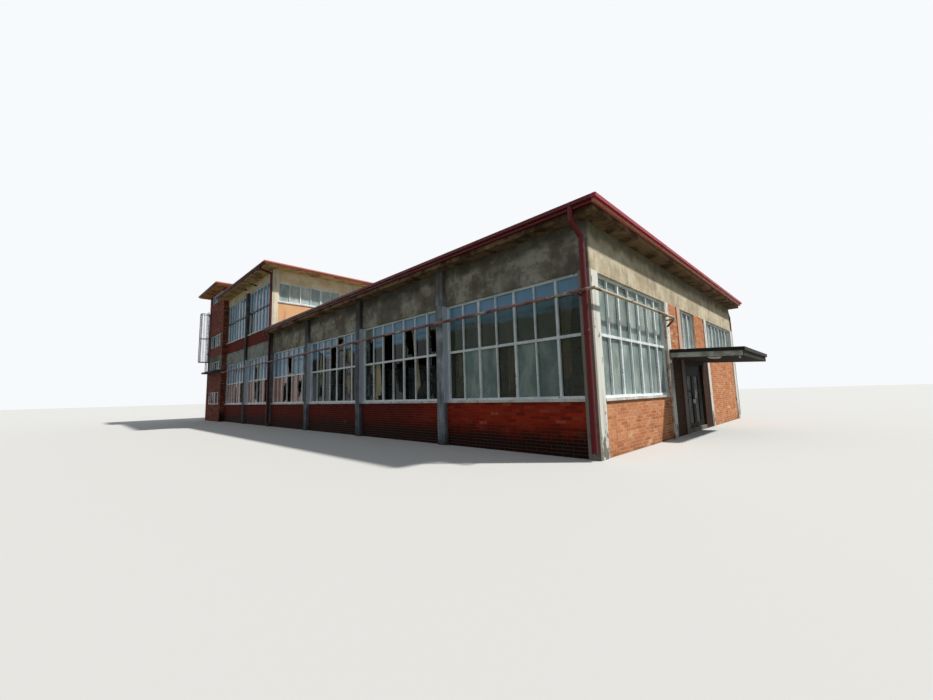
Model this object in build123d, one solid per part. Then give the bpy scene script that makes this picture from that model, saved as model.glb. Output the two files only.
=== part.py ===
from build123d import *
import os

# Disused works hall: a single-storey glazed hall of four bays, a two-storey block of two bays
# on its left and a stair tower at the left end. Millimetres, +Z up, -Y is the long front and
# +X the short entrance side. The origin is the middle of the plan at ground level.

# Plan: concrete columns at equal bays, brick and glass between them.
BAY = 4500
HALL_BAYS, BLOCK_BAYS = 4, 2
TOWER_LENGTH, TOWER_DEPTH, TOWER_FORWARD = 4000, 6000, 300
DEPTH = 13200
HALL_LENGTH, BLOCK_LENGTH = HALL_BAYS * BAY, BLOCK_BAYS * BAY
LENGTH = HALL_LENGTH + BLOCK_LENGTH + TOWER_LENGTH
X_RIGHT, X_LEFT = LENGTH / 2, -LENGTH / 2
X_BLOCK = X_RIGHT - HALL_LENGTH
X_TOWER = X_BLOCK - BLOCK_LENGTH
Y_FRONT, Y_REAR = -DEPTH / 2, DEPTH / 2
Y_TOWER_FRONT = Y_FRONT - TOWER_FORWARD
Y_TOWER_REAR = Y_TOWER_FRONT + TOWER_DEPTH

# Walls of brick with plaster inside, and concrete columns of the same depth.
WALL = 300
COLUMN, CORNER = 300, 230
COLUMN_PROUD, CORNER_PROUD, PILASTER_PROUD = 120, 60, 30
FLOOR = 120

# Heights above the ground.
SILL, HEAD = 1130, 3820
STOREY = 4170
UPPER_SILL, UPPER_HEAD = SILL + STOREY, HEAD + STOREY
UPPER_FLOOR_TOP, UPPER_FLOOR_THICK = 4200, 200
BAND_TOP = 4600
HALL_SOFFIT, BLOCK_SOFFIT, TOWER_SOFFIT = 4870, 8400, 9350

# Roofs: slab thickness, then the edge's height above the soffit, its board and its box gutter.
HALL_ROOF, HIGH_ROOF = 210, 130
HALL_EDGE, HIGH_EDGE = (110, 70, 80), (30, 60, 60)
HALL_OVERHANG, BLOCK_OVERHANG, TOWER_OVERHANG = 460, 820, 700
FASCIA_THICK, GUTTER_DEEP, GUTTER_SKIN = 70, 120, 8
GUTTER_RUN_ON = 280
MITRE_GAP = 2

# Windows: white steel bars with the glass behind them; thick and thin bars alternate.
LIGHT_PITCH = 600
FRAME_EDGE, FRAME_DEEP, FRAME_RECESS = 55, 80, 60
BAR_DEEP, THICK_BAR, THIN_BAR = 50, 60, 32
MIDRAIL = (1290, 62)
TRANSOM = (2220, 45)
GLASS = 6
SILL_THICK, SILL_OUT = 60, 45

# Entrance side, measured along it from the near corner: painted columns, doorway and windows.
RIGHT_COLUMNS = ((0, 310), (4400, 4700), (5500, 5800), (8550, 8850), (12900, 13200))
NEAR_BAY, FAR_BAY = (310, 4400), (8850, 12900)
DOORWAY, DOOR_WINDOW = (5800, 7850), (5800, 7400)
DOOR_TOP, HIGH_SILL = 2130, 2500

# Columns between the hall and the block, and the strip windows over the hall's roof.
INNER_COLUMNS = ((0, 200), (4400, 4700), (8550, 8850), (13000, 13200))
STRIP_SILL, STRIP_HEAD = 6610, 7750

# Canopy over the entrance, falling outwards.
CANOPY_START, CANOPY_END, CANOPY_OUT = 4530, 8150, 1700
CANOPY_THICK, CANOPY_TOP, CANOPY_FALL = 215, 2430, 95
SHEET_THICK, SHEET_LIP, SHEET_APRON, SHEET_GAP = 18, 40, 75, 15

# Entrance door: two leaves that swing outwards, on barrel hinges, with two panes each.
DOOR_RECESS, JAMB, JAMB_DEEP = 60, 55, 100
LEAF_THICK, LEAF_GAP, HINGE_OUT = 45, 8, 12
HINGE_STILE, MEETING_STILE = 380, 125
TOP_RAIL, MID_RAIL, KICK_RAIL = 340, 75, 130
MID_RAIL_UP = 1090
BARREL, BARREL_LONG, HINGE_PLATE, HINGE_PLATE_THICK = 9, 48, 40, 4
HINGE_HEIGHTS = (260, 1050, 1800)
HANDLE_BAR, HANDLE_LONG, HANDLE_OUT, HANDLE_UP, HANDLE_IN = 9, 260, 55, 900, 60

# Heating pipe on flat arms along the front and round the near corner.
PIPE, DROP_PIPE, PIPE_UP = 34, 30, 3330
PIPE_OUT, PIPE_SIDE_OUT = 275, 220
PIPE_END, DROP_AT, DROP_OUT = 4480, 4090, 100
ARM_WIDE, ARM_HIGH, STRUT_FALL = 40, 35, 180

# Rainwater pipes: swan neck from the gutter to the wall, then straight down. The block's neck is
# nearly level, close under its soffit.
DOWNPIPE, BRANCH_PIPE, DOWNPIPE_OUT, PIPE_CLEAR = 58, 44, 60, 2
DOWNPIPE_FOOT, NECK_DROP, NECK_FALL, BLOCK_NECK_FALL = 150, 90, 320, 140
DOWNPIPE_IN, CORNER_PIPE_IN, OUTLET_IN = 60, 35, 120

# Tower windows on the front, as (lowest, highest).
TOWER_ROWS = ((1180, 2040), (3640, 4230), (5290, 6210), (8640, 9330))
TOWER_MARGIN = 420
LEDGE_UP, LEDGE_THICK, LEDGE_OUT = 3440, 110, 380

# Steel ladder in a barred cage at the tower's left corner, standing on the ledge.
CAGE_IN, CAGE_WIDE, CAGE_OUT = 20, 520, 640
CAGE_LOW, CAGE_MIDDLE, CAGE_TOP = 4300, 6100, 8000
FLAT_THICK, FLAT_WIDE, BAR_WIDE, BAR_PITCH = 12, 40, 20, 150
LADDER_OUT, LADDER_WIDE, LADDER_TOP = 150, 400, 8150
RUNG, RUNG_PITCH, TIES_UP = 22, 300, (4900, 7900)


def box(x0, x1, y0, y1, z0, z1):
    """A straight-sided block between two corners."""
    return Pos(x0, y0, z0) * Box(x1 - x0, y1 - y0, z1 - z0, align=(Align.MIN, Align.MIN, Align.MIN))


# Each wall has its own frame: x runs along it from left to right as seen from outside, y runs
# inwards from the outer face, z is up.
HALL_FRONT = Location((X_BLOCK, Y_FRONT, 0), (0, 0, 0))
HALL_REAR = Location((X_RIGHT, Y_REAR, 0), (0, 0, 180))
RIGHT_SIDE = Location((X_RIGHT, Y_FRONT, 0), (0, 0, 90))
BLOCK_FRONT = Location((X_TOWER, Y_FRONT, 0), (0, 0, 0))
BLOCK_REAR = Location((X_BLOCK, Y_REAR, 0), (0, 0, 180))
BLOCK_SIDE = Location((X_BLOCK, Y_FRONT, 0), (0, 0, 90))
BLOCK_END = Location((X_TOWER, Y_REAR, 0), (0, 0, 270))
TOWER_FRONT = Location((X_LEFT, Y_TOWER_FRONT, 0), (0, 0, 0))
TOWER_END = Location((X_LEFT, Y_TOWER_REAR, 0), (0, 0, 270))

# Columns and the clear spans between them along each wall.
HALF = COLUMN / 2


def spans_between(edges):
    """The clear spans left between a row of (start, end) columns."""
    return [(a[1], b[0]) for a, b in zip(edges, edges[1:])]


HALL_COLUMNS = [(BAY * i - HALF, BAY * i + HALF) for i in range(1, HALL_BAYS)]
MIDDLE_COLUMN = (BAY - HALF, BAY + HALF)
LAST_COLUMN = (BLOCK_LENGTH - COLUMN, BLOCK_LENGTH)
HALL_FRONT_SPANS = spans_between([(0, 0)] + HALL_COLUMNS + [(HALL_LENGTH - CORNER, HALL_LENGTH)])
HALL_REAR_SPANS = spans_between([(0, CORNER)] + HALL_COLUMNS + [(HALL_LENGTH, HALL_LENGTH)])
FRONT_BAND_SPANS = spans_between([(0, 0)] + HALL_COLUMNS + [(HALL_LENGTH - WALL, HALL_LENGTH)])
REAR_BAND_SPANS = spans_between([(0, WALL)] + HALL_COLUMNS + [(HALL_LENGTH, HALL_LENGTH)])
BLOCK_FRONT_SPANS = spans_between([(0, 0), MIDDLE_COLUMN, LAST_COLUMN])
BLOCK_REAR_SPANS = spans_between([(0, COLUMN), MIDDLE_COLUMN, LAST_COLUMN])
END_LENGTH = Y_REAR - Y_TOWER_REAR
END_MIDDLE = (END_LENGTH + COLUMN) / 2
END_COLUMN = (END_MIDDLE - HALF, END_MIDDLE + HALF)
END_SPANS = spans_between([(0, COLUMN), END_COLUMN, (END_LENGTH, END_LENGTH)])
SIDE_SPANS = spans_between(INNER_COLUMNS)


def panels(wall, spans, low, high):
    """Wall panels of full thickness that fill the spans of one wall between two heights."""
    return [wall * box(a, b, 0, WALL, low, high) for a, b in spans]


def columns(wall, edges, top, proud):
    """Columns on one wall that stand proud of its outer face."""
    return [wall * box(a, b, -proud, WALL, 0, top) for a, b in edges]


def window(width, height, rails):
    """One steel window: an edge frame, upright bars that alternate thick and thin, and rails.

    rails lists (height of the rail's underside, its thickness) from the bottom.
    """
    lights = round((width - FRAME_EDGE) / LIGHT_PITCH)
    pitch = (width - FRAME_EDGE) / lights
    frame = box(0, width, 0, FRAME_DEEP, 0, height)
    frame -= box(FRAME_EDGE, width - FRAME_EDGE, BAR_DEEP, FRAME_DEEP, FRAME_EDGE, height - FRAME_EDGE)
    bars = [THICK_BAR if i % 2 == 0 else THIN_BAR for i in range(1, lights)]
    centres = [FRAME_EDGE / 2 + pitch * i for i in range(1, lights)]
    lefts = [FRAME_EDGE] + [c + b / 2 for c, b in zip(centres, bars)]
    rights = [c - b / 2 for c, b in zip(centres, bars)] + [width - FRAME_EDGE]
    bottoms = [FRAME_EDGE] + [up + thick for up, thick in rails]
    tops = [up for up, thick in rails] + [height - FRAME_EDGE]
    across, upward = list(zip(lefts, rights)), list(zip(bottoms, tops))
    lights_cut = [box(l, r, 0, BAR_DEEP, b, t) for l, r in across for b, t in upward]
    return frame - Compound(children=lights_cut)


def window_row(wall, spans, low, high, rails):
    """Windows that fill the spans of a wall, set back from its outer face, above their sills."""
    base = low + SILL_THICK
    return [wall * Pos(a, FRAME_RECESS, base) * window(b - a, high - base, rails) for a, b in spans]


def glass_sheet(a, b, low, high):
    """One sheet of glass behind the bars of a window."""
    back, edge = FRAME_RECESS + BAR_DEEP, FRAME_EDGE
    return box(a + edge, b - edge, back, back + GLASS, low + edge, high - edge)


def glass_row(wall, spans, low, high):
    return [wall * glass_sheet(a, b, low + SILL_THICK, high) for a, b in spans]


def sill_row(wall, spans, low):
    return [wall * box(a, b, -SILL_OUT, WALL, low, low + SILL_THICK) for a, b in spans]


def hall_walls():
    """Brick, sills, windows and bands of the hall.

    The entrance side's near window has no transom, and its other two are high and have no rails.
    """
    full = ((HALL_FRONT, HALL_FRONT_SPANS), (HALL_REAR, HALL_REAR_SPANS), (RIGHT_SIDE, [NEAR_BAY]))
    rows = [(wall, spans, SILL, [MIDRAIL, TRANSOM]) for wall, spans in full[:2]]
    rows.append((RIGHT_SIDE, [NEAR_BAY], SILL, [MIDRAIL]))
    rows.append((RIGHT_SIDE, [DOOR_WINDOW, FAR_BAY], HIGH_SILL, []))
    bands = ((HALL_FRONT, FRONT_BAND_SPANS), (HALL_REAR, REAR_BAND_SPANS))
    return {
        "hall_parapets": [p for wall, spans in full for p in panels(wall, spans, 0, SILL)],
        "hall_sills": [p for wall, spans, low, rails in rows for p in sill_row(wall, spans, low)],
        "hall_frames": [
            p for wall, spans, low, rails in rows for p in window_row(wall, spans, low, HEAD, rails)
        ],
        "hall_glass": [p for wall, spans, low, rails in rows for p in glass_row(wall, spans, low, HEAD)],
        "hall_band": [p for wall, spans in bands for p in panels(wall, spans, HEAD, HALL_SOFFIT)],
        "right_band": panels(RIGHT_SIDE, [(0, DEPTH)], HEAD, HALL_SOFFIT),
    }


def door_walls():
    """Brickwork round the doorway, with the taller pier beside the window over the door."""
    left_pier = (RIGHT_COLUMNS[1][1], RIGHT_COLUMNS[2][0])
    right_pier = (DOORWAY[1], RIGHT_COLUMNS[3][0])
    beside_window = (DOOR_WINDOW[1], RIGHT_COLUMNS[3][0])
    return {
        "door_piers": [
            *panels(RIGHT_SIDE, [left_pier], 0, HEAD), *panels(RIGHT_SIDE, [right_pier], 0, HIGH_SILL),
        ],
        "upper_pier": panels(RIGHT_SIDE, [beside_window], HIGH_SILL, HEAD),
        "door_lintel": panels(RIGHT_SIDE, [DOORWAY], DOOR_TOP, HIGH_SILL),
        "right_far_wall": panels(RIGHT_SIDE, [FAR_BAY], 0, HIGH_SILL),
    }


def white_columns():
    """Painted columns of the entrance side; the two at the corners turn on to the long walls."""
    (a, b), *middle, (c, d) = RIGHT_COLUMNS
    near, far = (a - CORNER_PROUD, b), (c, d + CORNER_PROUD)
    posts = [RIGHT_SIDE * box(*ends, -PILASTER_PROUD, CORNER, 0, HEAD) for ends in (near, far)]
    return posts + columns(RIGHT_SIDE, middle, HEAD, PILASTER_PROUD)


def canopy():
    """Flat concrete canopy that falls outwards, with a dark sheet on top, folded down its edges."""
    low = CANOPY_TOP - CANOPY_THICK
    side = Polyline(
        (0, low), (0, CANOPY_TOP), (CANOPY_OUT, CANOPY_TOP - CANOPY_FALL),
        (CANOPY_OUT, low - CANOPY_FALL), close=True,
    )
    long = CANOPY_END - CANOPY_START
    stand = Location((X_RIGHT + PILASTER_PROUD, Y_FRONT, 0), (90, 0, 0)) * Pos(0, 0, -CANOPY_END)
    slab = stand * extrude(make_face(side), long)
    slope = CANOPY_FALL / CANOPY_OUT
    cover = sheet_outline(SHEET_LIP, SHEET_THICK, SHEET_APRON, slope, long)
    cover -= sheet_outline(SHEET_GAP, 0, 2 * SHEET_APRON, slope, long)
    return slab, stand * cover


def sheet_outline(lip, above, below, slope, long):
    """A band along the canopy's top plane that reaches past its three free edges by the lip."""
    out = CANOPY_OUT + lip
    outline = Polyline(
        (0, CANOPY_TOP - below), (0, CANOPY_TOP + above), (out, CANOPY_TOP + above - slope * out),
        (out, CANOPY_TOP - below - slope * out), close=True,
    )
    return Pos(0, 0, -lip) * extrude(make_face(outline), long + 2 * lip)


# The door stands in the entrance side's frame: each leaf is drawn from its hinge.
DOOR_HIGH = DOOR_TOP - FLOOR
LEAF_WIDTH = (DOORWAY[1] - DOORWAY[0] - 2 * JAMB - 3 * LEAF_GAP) / 2
LEAF_HIGH = DOOR_HIGH - JAMB - 2 * LEAF_GAP
HINGE_NEAR = DOORWAY[0] + JAMB + LEAF_GAP / 2
HINGE_FAR = DOORWAY[1] - JAMB - LEAF_GAP / 2


def hinge_half(side, low):
    """Half of a barrel hinge about the pin: a knuckle with a plate on the face behind it."""
    knuckle = Pos(0, 0, low) * Cylinder(BARREL, BARREL_LONG, align=(Align.CENTER, Align.CENTER, Align.MIN))
    ends = sorted((0, side * HINGE_PLATE))
    plate = box(ends[0], ends[1], HINGE_OUT - HINGE_PLATE_THICK, HINGE_OUT, low, low + BARREL_LONG)
    return knuckle + plate


def door_frame():
    """Jambs and head, with the fixed halves of the hinges."""
    start, end = DOORWAY
    frame = box(start, end, DOOR_RECESS, DOOR_RECESS + JAMB_DEEP, FLOOR, DOOR_TOP)
    frame -= box(start + JAMB, end - JAMB, 0, WALL, 0, DOOR_TOP - JAMB)
    for up in HINGE_HEIGHTS:
        for at, side in ((HINGE_NEAR, -1), (HINGE_FAR, 1)):
            frame += Pos(at, DOOR_RECESS - HINGE_OUT, FLOOR) * hinge_half(side, up - BARREL_LONG - 1)
    return RIGHT_SIDE * frame


def leaf_openings(low_y, high_y):
    """The two glazed openings of a leaf, one over the other, drawn from its hinge side."""
    rows = ((KICK_RAIL, MID_RAIL_UP), (MID_RAIL_UP + MID_RAIL, LEAF_HIGH - TOP_RAIL))
    return [box(HINGE_STILE, LEAF_WIDTH - MEETING_STILE, low_y, high_y, low, high) for low, high in rows]


def pull_handle():
    """A bow handle on the meeting stile: a straight grip between two legs."""
    x = LEAF_WIDTH - HANDLE_IN
    low, high = HANDLE_UP, HANDLE_UP + HANDLE_LONG
    path = Polyline((x, 0, low), (x, -HANDLE_OUT, low), (x, -HANDLE_OUT, high), (x, 0, high))
    start = Plane(origin=path @ 0, z_dir=path % 0)
    return sweep(start * Circle(HANDLE_BAR), path=path, transition=Transition.RIGHT)


def leaf_parts(mirrored):
    """Leaf, glass and handle of one side, with the moving halves of its hinges."""
    hinge = HINGE_FAR if mirrored else HINGE_NEAR
    place = RIGHT_SIDE * Pos(hinge, DOOR_RECESS, FLOOR + LEAF_GAP)
    leaf = box(0, LEAF_WIDTH, 0, LEAF_THICK, 0, LEAF_HIGH)
    leaf -= Compound(children=leaf_openings(0, LEAF_THICK))
    middle, half = LEAF_THICK / 2, GLASS / 2
    pieces = [leaf, pull_handle(), *leaf_openings(middle - half, middle + half)]
    pieces = [Pos(LEAF_GAP / 2, 0, 0) * piece for piece in pieces]
    for up in HINGE_HEIGHTS:
        pieces[0] += Pos(0, -HINGE_OUT, -LEAF_GAP) * hinge_half(1, up)
    if mirrored:
        pieces = [mirror(piece, about=Plane.YZ) for piece in pieces]
    leaf, handle, *glass = [place * piece for piece in pieces]
    return leaf, glass, handle


def edge_length(length, board, gutter):
    """Fascia board below, box gutter above: the section carried along x, its outer face at y = 0.

    The board is fixed to the slab and stands back under the gutter, which is open on top.
    """
    high, skin, back = board + gutter, GUTTER_SKIN, GUTTER_DEEP - FASCIA_THICK
    section = Polyline(
        (back, 0), (GUTTER_DEEP, 0), (GUTTER_DEEP, high), (GUTTER_DEEP - skin, high),
        (GUTTER_DEEP - skin, board + skin), (skin, board + skin), (skin, high), (0, high),
        (0, board), (back, board), close=True,
    )
    return extrude(Plane.YZ * make_face(section), length)


def mitre_waste(corner, sign, high):
    """What a 45 degree saw cut takes off one end; sign is +1 at the start and -1 at the far end."""
    shift = corner + sign * MITRE_GAP / 2
    waste = Polyline(
        (shift - sign * GUTTER_DEEP, -GUTTER_DEEP), (shift + sign * 2 * GUTTER_DEEP, 2 * GUTTER_DEEP),
        (shift - sign * GUTTER_DEEP, 2 * GUTTER_DEEP), close=True,
    )
    return extrude(make_face(waste), 2 * high, both=True)


def roof_edge(start, turn, length, base, edge, mitres):
    """One straight length of roof edge: mitred where it meets the next, else with a stop end."""
    board, gutter = edge
    piece = edge_length(length, board, gutter)
    for mitred, corner, sign in zip(mitres, (0, length), (1, -1)):
        if mitred:
            piece -= mitre_waste(corner, sign, board + gutter)
        else:
            ends = sorted((corner, corner + sign * GUTTER_SKIN))
            piece += box(*ends, 0, GUTTER_DEEP, board, board + gutter)
    return Location((start[0], start[1], base), (0, 0, turn)) * piece


def edge_ring(x0, x1, y0, y1, base, edge, sides):
    """Roof edges round a rectangle: front, right, rear and left, those named in sides."""
    corners = {
        "front": ((x0, y0), 0, x1 - x0), "right": ((x1, y0), 90, y1 - y0),
        "rear": ((x1, y1), 180, x1 - x0), "left": ((x0, y1), 270, y1 - y0),
    }
    order = ["front", "right", "rear", "left"]
    ring = []
    for i, side in enumerate(order):
        if side in sides:
            start, turn, length = corners[side]
            mitres = (order[i - 1] in sides, order[(i + 1) % 4] in sides)
            ring.append(roof_edge(start, turn, length, base, edge, mitres))
    return ring


ALL_SIDES = ("front", "right", "rear", "left")


# Where the rainwater pipes stand: the lines of the wall and of the two gutters, and their outlets.
PIPE_LINE = Y_FRONT - COLUMN_PROUD - DOWNPIPE_OUT
HALL_GUTTER = Y_FRONT - HALL_OVERHANG + GUTTER_DEEP / 2
BLOCK_GUTTER = Y_FRONT - BLOCK_OVERHANG + GUTTER_DEEP / 2
HALL_OUTLET, HALL_PIPE = X_RIGHT - OUTLET_IN, X_RIGHT - CORNER_PIPE_IN
BLOCK_PIPE, BRANCH_OUTLET = X_BLOCK - DOWNPIPE_IN, X_BLOCK - GUTTER_RUN_ON + DOWNPIPE_IN


def notched(ring, x, y, radius, base, board):
    """Cuts the boards, front and rear, where a rainwater pipe comes down from the gutter."""
    align = (Align.CENTER, Align.CENTER, Align.MIN)
    hole = Pos(x, y, base - PIPE_CLEAR) * Cylinder(radius + PIPE_CLEAR, board + PIPE_CLEAR, align=align)
    return [edge - hole - mirror(hole, about=Plane.XZ) for edge in ring]


def hall_roof():
    """The hall's slab and edges; its gutters run on a little past the block's corner."""
    out, back = HALL_OVERHANG, HALL_OVERHANG - GUTTER_DEEP
    drop, board, gutter = HALL_EDGE
    top = HALL_SOFFIT + HALL_ROOF
    slab = box(X_BLOCK, X_RIGHT + back, Y_FRONT - back, Y_REAR + back, HALL_SOFFIT, top)
    ring = edge_ring(
        X_BLOCK - GUTTER_RUN_ON, X_RIGHT + out, Y_FRONT - out, Y_REAR + out,
        HALL_SOFFIT + drop, (board, gutter), ALL_SIDES[:3],
    )
    ring = notched(ring, HALL_OUTLET, HALL_GUTTER, DOWNPIPE, HALL_SOFFIT + drop, board)
    return slab, notched(ring, BRANCH_OUTLET, HALL_GUTTER, BRANCH_PIPE, HALL_SOFFIT + drop, board)


def block_roof():
    """Roof of the two-storey block, notched round the tower, whose roof is higher."""
    out, back = BLOCK_OVERHANG, BLOCK_OVERHANG - GUTTER_DEEP
    drop, board, gutter = HIGH_EDGE
    top = BLOCK_SOFFIT + HIGH_ROOF
    slab = box(X_TOWER, X_BLOCK + back, Y_FRONT - back, Y_REAR + back, BLOCK_SOFFIT, top)
    slab += box(X_TOWER - back, X_TOWER, Y_TOWER_REAR, Y_REAR + back, BLOCK_SOFFIT, top)
    ring = edge_ring(
        X_TOWER - out, X_BLOCK + out, Y_FRONT - out, Y_REAR + out,
        BLOCK_SOFFIT + drop, (board, gutter), ALL_SIDES,
    )
    ring = notched(ring, BLOCK_PIPE, BLOCK_GUTTER, DOWNPIPE, BLOCK_SOFFIT + drop, board)
    tower = box(X_LEFT, X_TOWER, Y_FRONT - 2 * out, Y_TOWER_REAR, 0, TOWER_SOFFIT)
    return slab, [edge - tower for edge in ring]


def tower_roof():
    out, back = TOWER_OVERHANG, TOWER_OVERHANG - GUTTER_DEEP
    drop, board, gutter = HIGH_EDGE
    y0, y1 = Y_TOWER_FRONT, Y_TOWER_REAR
    slab = box(
        X_LEFT - back, X_TOWER + back, y0 - back, y1 + back, TOWER_SOFFIT, TOWER_SOFFIT + HIGH_ROOF,
    )
    ring = edge_ring(
        X_LEFT - out, X_TOWER + out, y0 - out, y1 + out, TOWER_SOFFIT + drop, (board, gutter), ALL_SIDES,
    )
    return slab, ring


def tower_walls():
    """Four brick walls; the window rows go right through the front."""
    front = TOWER_FRONT * box(0, TOWER_LENGTH, 0, WALL, 0, TOWER_SOFFIT)
    for low, high in TOWER_ROWS:
        front -= TOWER_FRONT * box(TOWER_MARGIN, TOWER_LENGTH - TOWER_MARGIN, 0, WALL, low, high)
    end = TOWER_END * box(0, TOWER_DEPTH - WALL, 0, WALL, 0, TOWER_SOFFIT)
    side = box(X_TOWER - WALL, X_TOWER, Y_TOWER_FRONT + WALL, Y_TOWER_REAR, 0, TOWER_SOFFIT)
    rear = box(X_LEFT + WALL, X_TOWER - WALL, Y_TOWER_REAR - WALL, Y_TOWER_REAR, 0, TOWER_SOFFIT)
    return {"tower_front": front, "tower_end_wall": end, "tower_side_wall": side, "tower_rear_wall": rear}


def tower_windows():
    a, b = TOWER_MARGIN, TOWER_LENGTH - TOWER_MARGIN
    frames = [
        TOWER_FRONT * Pos(a, FRAME_RECESS, low) * window(b - a, high - low, []) for low, high in TOWER_ROWS
    ]
    return frames, [TOWER_FRONT * glass_sheet(a, b, low, high) for low, high in TOWER_ROWS]


def pipe_run(points, radius):
    """A round pipe along straight runs, with mitred bends."""
    path = Polyline(*points)
    start = Plane(origin=path @ 0, z_dir=path % 0)
    return sweep(start * Circle(radius), path=path, transition=Transition.RIGHT)


def heating_pipe():
    """Pipe along the front and round the near corner, with a drop to the ground near its end."""
    y_front, x_side = Y_FRONT - PIPE_OUT, X_RIGHT + PIPE_SIDE_OUT
    main = pipe_run(
        [(X_TOWER, y_front, PIPE_UP), (x_side, y_front, PIPE_UP), (x_side, Y_FRONT + PIPE_END, PIPE_UP)],
        PIPE,
    )
    drop, x_wall = Y_FRONT + DROP_AT, X_RIGHT + DROP_OUT
    branch = pipe_run([(x_side, drop, PIPE_UP), (x_wall, drop, PIPE_UP), (x_wall, drop, 0)], DROP_PIPE)
    return main + branch


def pipe_brackets():
    """Flat arms from the columns under the pipe, and a strutted arm at the pipe's end."""
    low, high = PIPE_UP - PIPE - ARM_HIGH, PIPE_UP - PIPE
    half = ARM_WIDE / 2
    hall = [(HALL_FRONT, (a + b) / 2) for a, b in HALL_COLUMNS]
    block = [(BLOCK_FRONT, (a + b) / 2) for a, b in (MIDDLE_COLUMN, LAST_COLUMN)]
    arms = [
        wall * box(x - half, x + half, -PIPE_OUT - PIPE, -COLUMN_PROUD, low, high) for wall, x in hall + block
    ]
    corner = HALL_LENGTH - HALF
    arms.append(HALL_FRONT * box(corner - half, corner + half, -PIPE_OUT - PIPE, -CORNER_PROUD, low, high))
    reach, wall_face = PIPE_SIDE_OUT + PIPE, PILASTER_PROUD
    outline = Polyline(
        (wall_face, high), (reach, high), (reach, low), (wall_face + ARM_HIGH, low - STRUT_FALL),
        (wall_face, low - STRUT_FALL), close=True,
    )
    gusset = Polyline(
        (wall_face, low), (reach - 2 * ARM_HIGH, low), (wall_face, low - STRUT_FALL + ARM_HIGH), close=True,
    )
    end_arm = extrude(make_face(outline) - make_face(gusset), ARM_WIDE)
    arms.append(Location((X_RIGHT, Y_FRONT + PIPE_END, 0), (90, 0, 0)) * end_arm)
    return arms


def downpipes():
    """Rainwater pipes at the outer corners of the hall and at the block's inner corners.

    The block's pipe drops from its own eave and takes the end of the hall's gutter on the way.
    """
    hall_top, hall_knee = HALL_SOFFIT + sum(HALL_EDGE[:2]), HALL_SOFFIT - NECK_DROP
    block_top, block_knee = BLOCK_SOFFIT + sum(HIGH_EDGE[:2]), BLOCK_SOFFIT - NECK_DROP
    low_knee = hall_knee - NECK_FALL
    corner = pipe_run(
        [
            (HALL_OUTLET, HALL_GUTTER, hall_top), (HALL_OUTLET, HALL_GUTTER, hall_knee),
            (HALL_PIPE, PIPE_LINE, low_knee), (HALL_PIPE, PIPE_LINE, DOWNPIPE_FOOT),
        ],
        DOWNPIPE,
    )
    tall = pipe_run(
        [
            (BLOCK_PIPE, BLOCK_GUTTER, block_top), (BLOCK_PIPE, BLOCK_GUTTER, block_knee),
            (BLOCK_PIPE, PIPE_LINE, block_knee - BLOCK_NECK_FALL), (BLOCK_PIPE, PIPE_LINE, DOWNPIPE_FOOT),
        ],
        DOWNPIPE,
    )
    tall += pipe_run(
        [
            (BRANCH_OUTLET, HALL_GUTTER, hall_top), (BRANCH_OUTLET, HALL_GUTTER, hall_knee),
            (BLOCK_PIPE, PIPE_LINE, low_knee),
        ],
        BRANCH_PIPE,
    )
    return [corner, tall, mirror(corner, about=Plane.XZ), mirror(tall, about=Plane.XZ)]


def barred_panel(long):
    """A flat panel of the cage: a rim round it, a rail across its middle and upright bars."""
    outer = box(0, long, 0, FLAT_THICK, CAGE_LOW, CAGE_TOP)
    count = round(long / BAR_PITCH)
    pitch = (long - BAR_WIDE) / count
    edges = [FLAT_WIDE / 2 - BAR_WIDE / 2] + [pitch * i for i in range(1, count)]
    edges.append(long - FLAT_WIDE / 2 - BAR_WIDE / 2)
    middle = CAGE_MIDDLE - FLAT_WIDE / 2
    rows = ((CAGE_LOW + FLAT_WIDE, middle), (middle + FLAT_WIDE, CAGE_TOP - FLAT_WIDE))
    gaps = []
    for a, b in zip(edges, edges[1:]):
        start = FLAT_WIDE if a == edges[0] else a + BAR_WIDE
        stop = long - FLAT_WIDE if b == edges[-1] else b
        gaps += [box(start, stop, 0, FLAT_THICK, low, high) for low, high in rows]
    return outer - Compound(children=gaps)


def cage():
    """Two side panels that stand out from the tower's front, and the panel that closes them."""
    x0, x1 = X_LEFT + CAGE_IN, X_LEFT + CAGE_IN + CAGE_WIDE
    y = Y_TOWER_FRONT - CAGE_OUT
    sides = [Location((x, y, 0), (0, 0, 90)) * barred_panel(CAGE_OUT) for x in (x0 + FLAT_THICK, x1)]
    front = Pos(x0 + FLAT_THICK, y, 0) * barred_panel(CAGE_WIDE - 2 * FLAT_THICK)
    return sides, front


def cage_ladder():
    """Two flat stiles on the ledge with square rungs, tied back to the wall at two heights."""
    x0 = X_LEFT + CAGE_IN + (CAGE_WIDE - LADDER_WIDE) / 2
    x1, base = x0 + LADDER_WIDE, LEDGE_UP + LEDGE_THICK
    y0 = Y_TOWER_FRONT - LADDER_OUT
    ladder = box(x0, x0 + FLAT_THICK, y0 - FLAT_WIDE, y0, base, LADDER_TOP)
    ladder += box(x1 - FLAT_THICK, x1, y0 - FLAT_WIDE, y0, base, LADDER_TOP)
    middle, half = y0 - FLAT_WIDE / 2, RUNG / 2
    for i in range(1, int((LADDER_TOP - base) / RUNG_PITCH) + 1):
        up = base + RUNG_PITCH * i
        ladder += box(x0, x1, middle - half, middle + half, up - half, up + half)
    for up in TIES_UP:
        for x in (x0, x1 - FLAT_THICK):
            ladder += box(x, x + FLAT_THICK, y0, Y_TOWER_FRONT, up, up + FLAT_WIDE)
    return ladder


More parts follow.
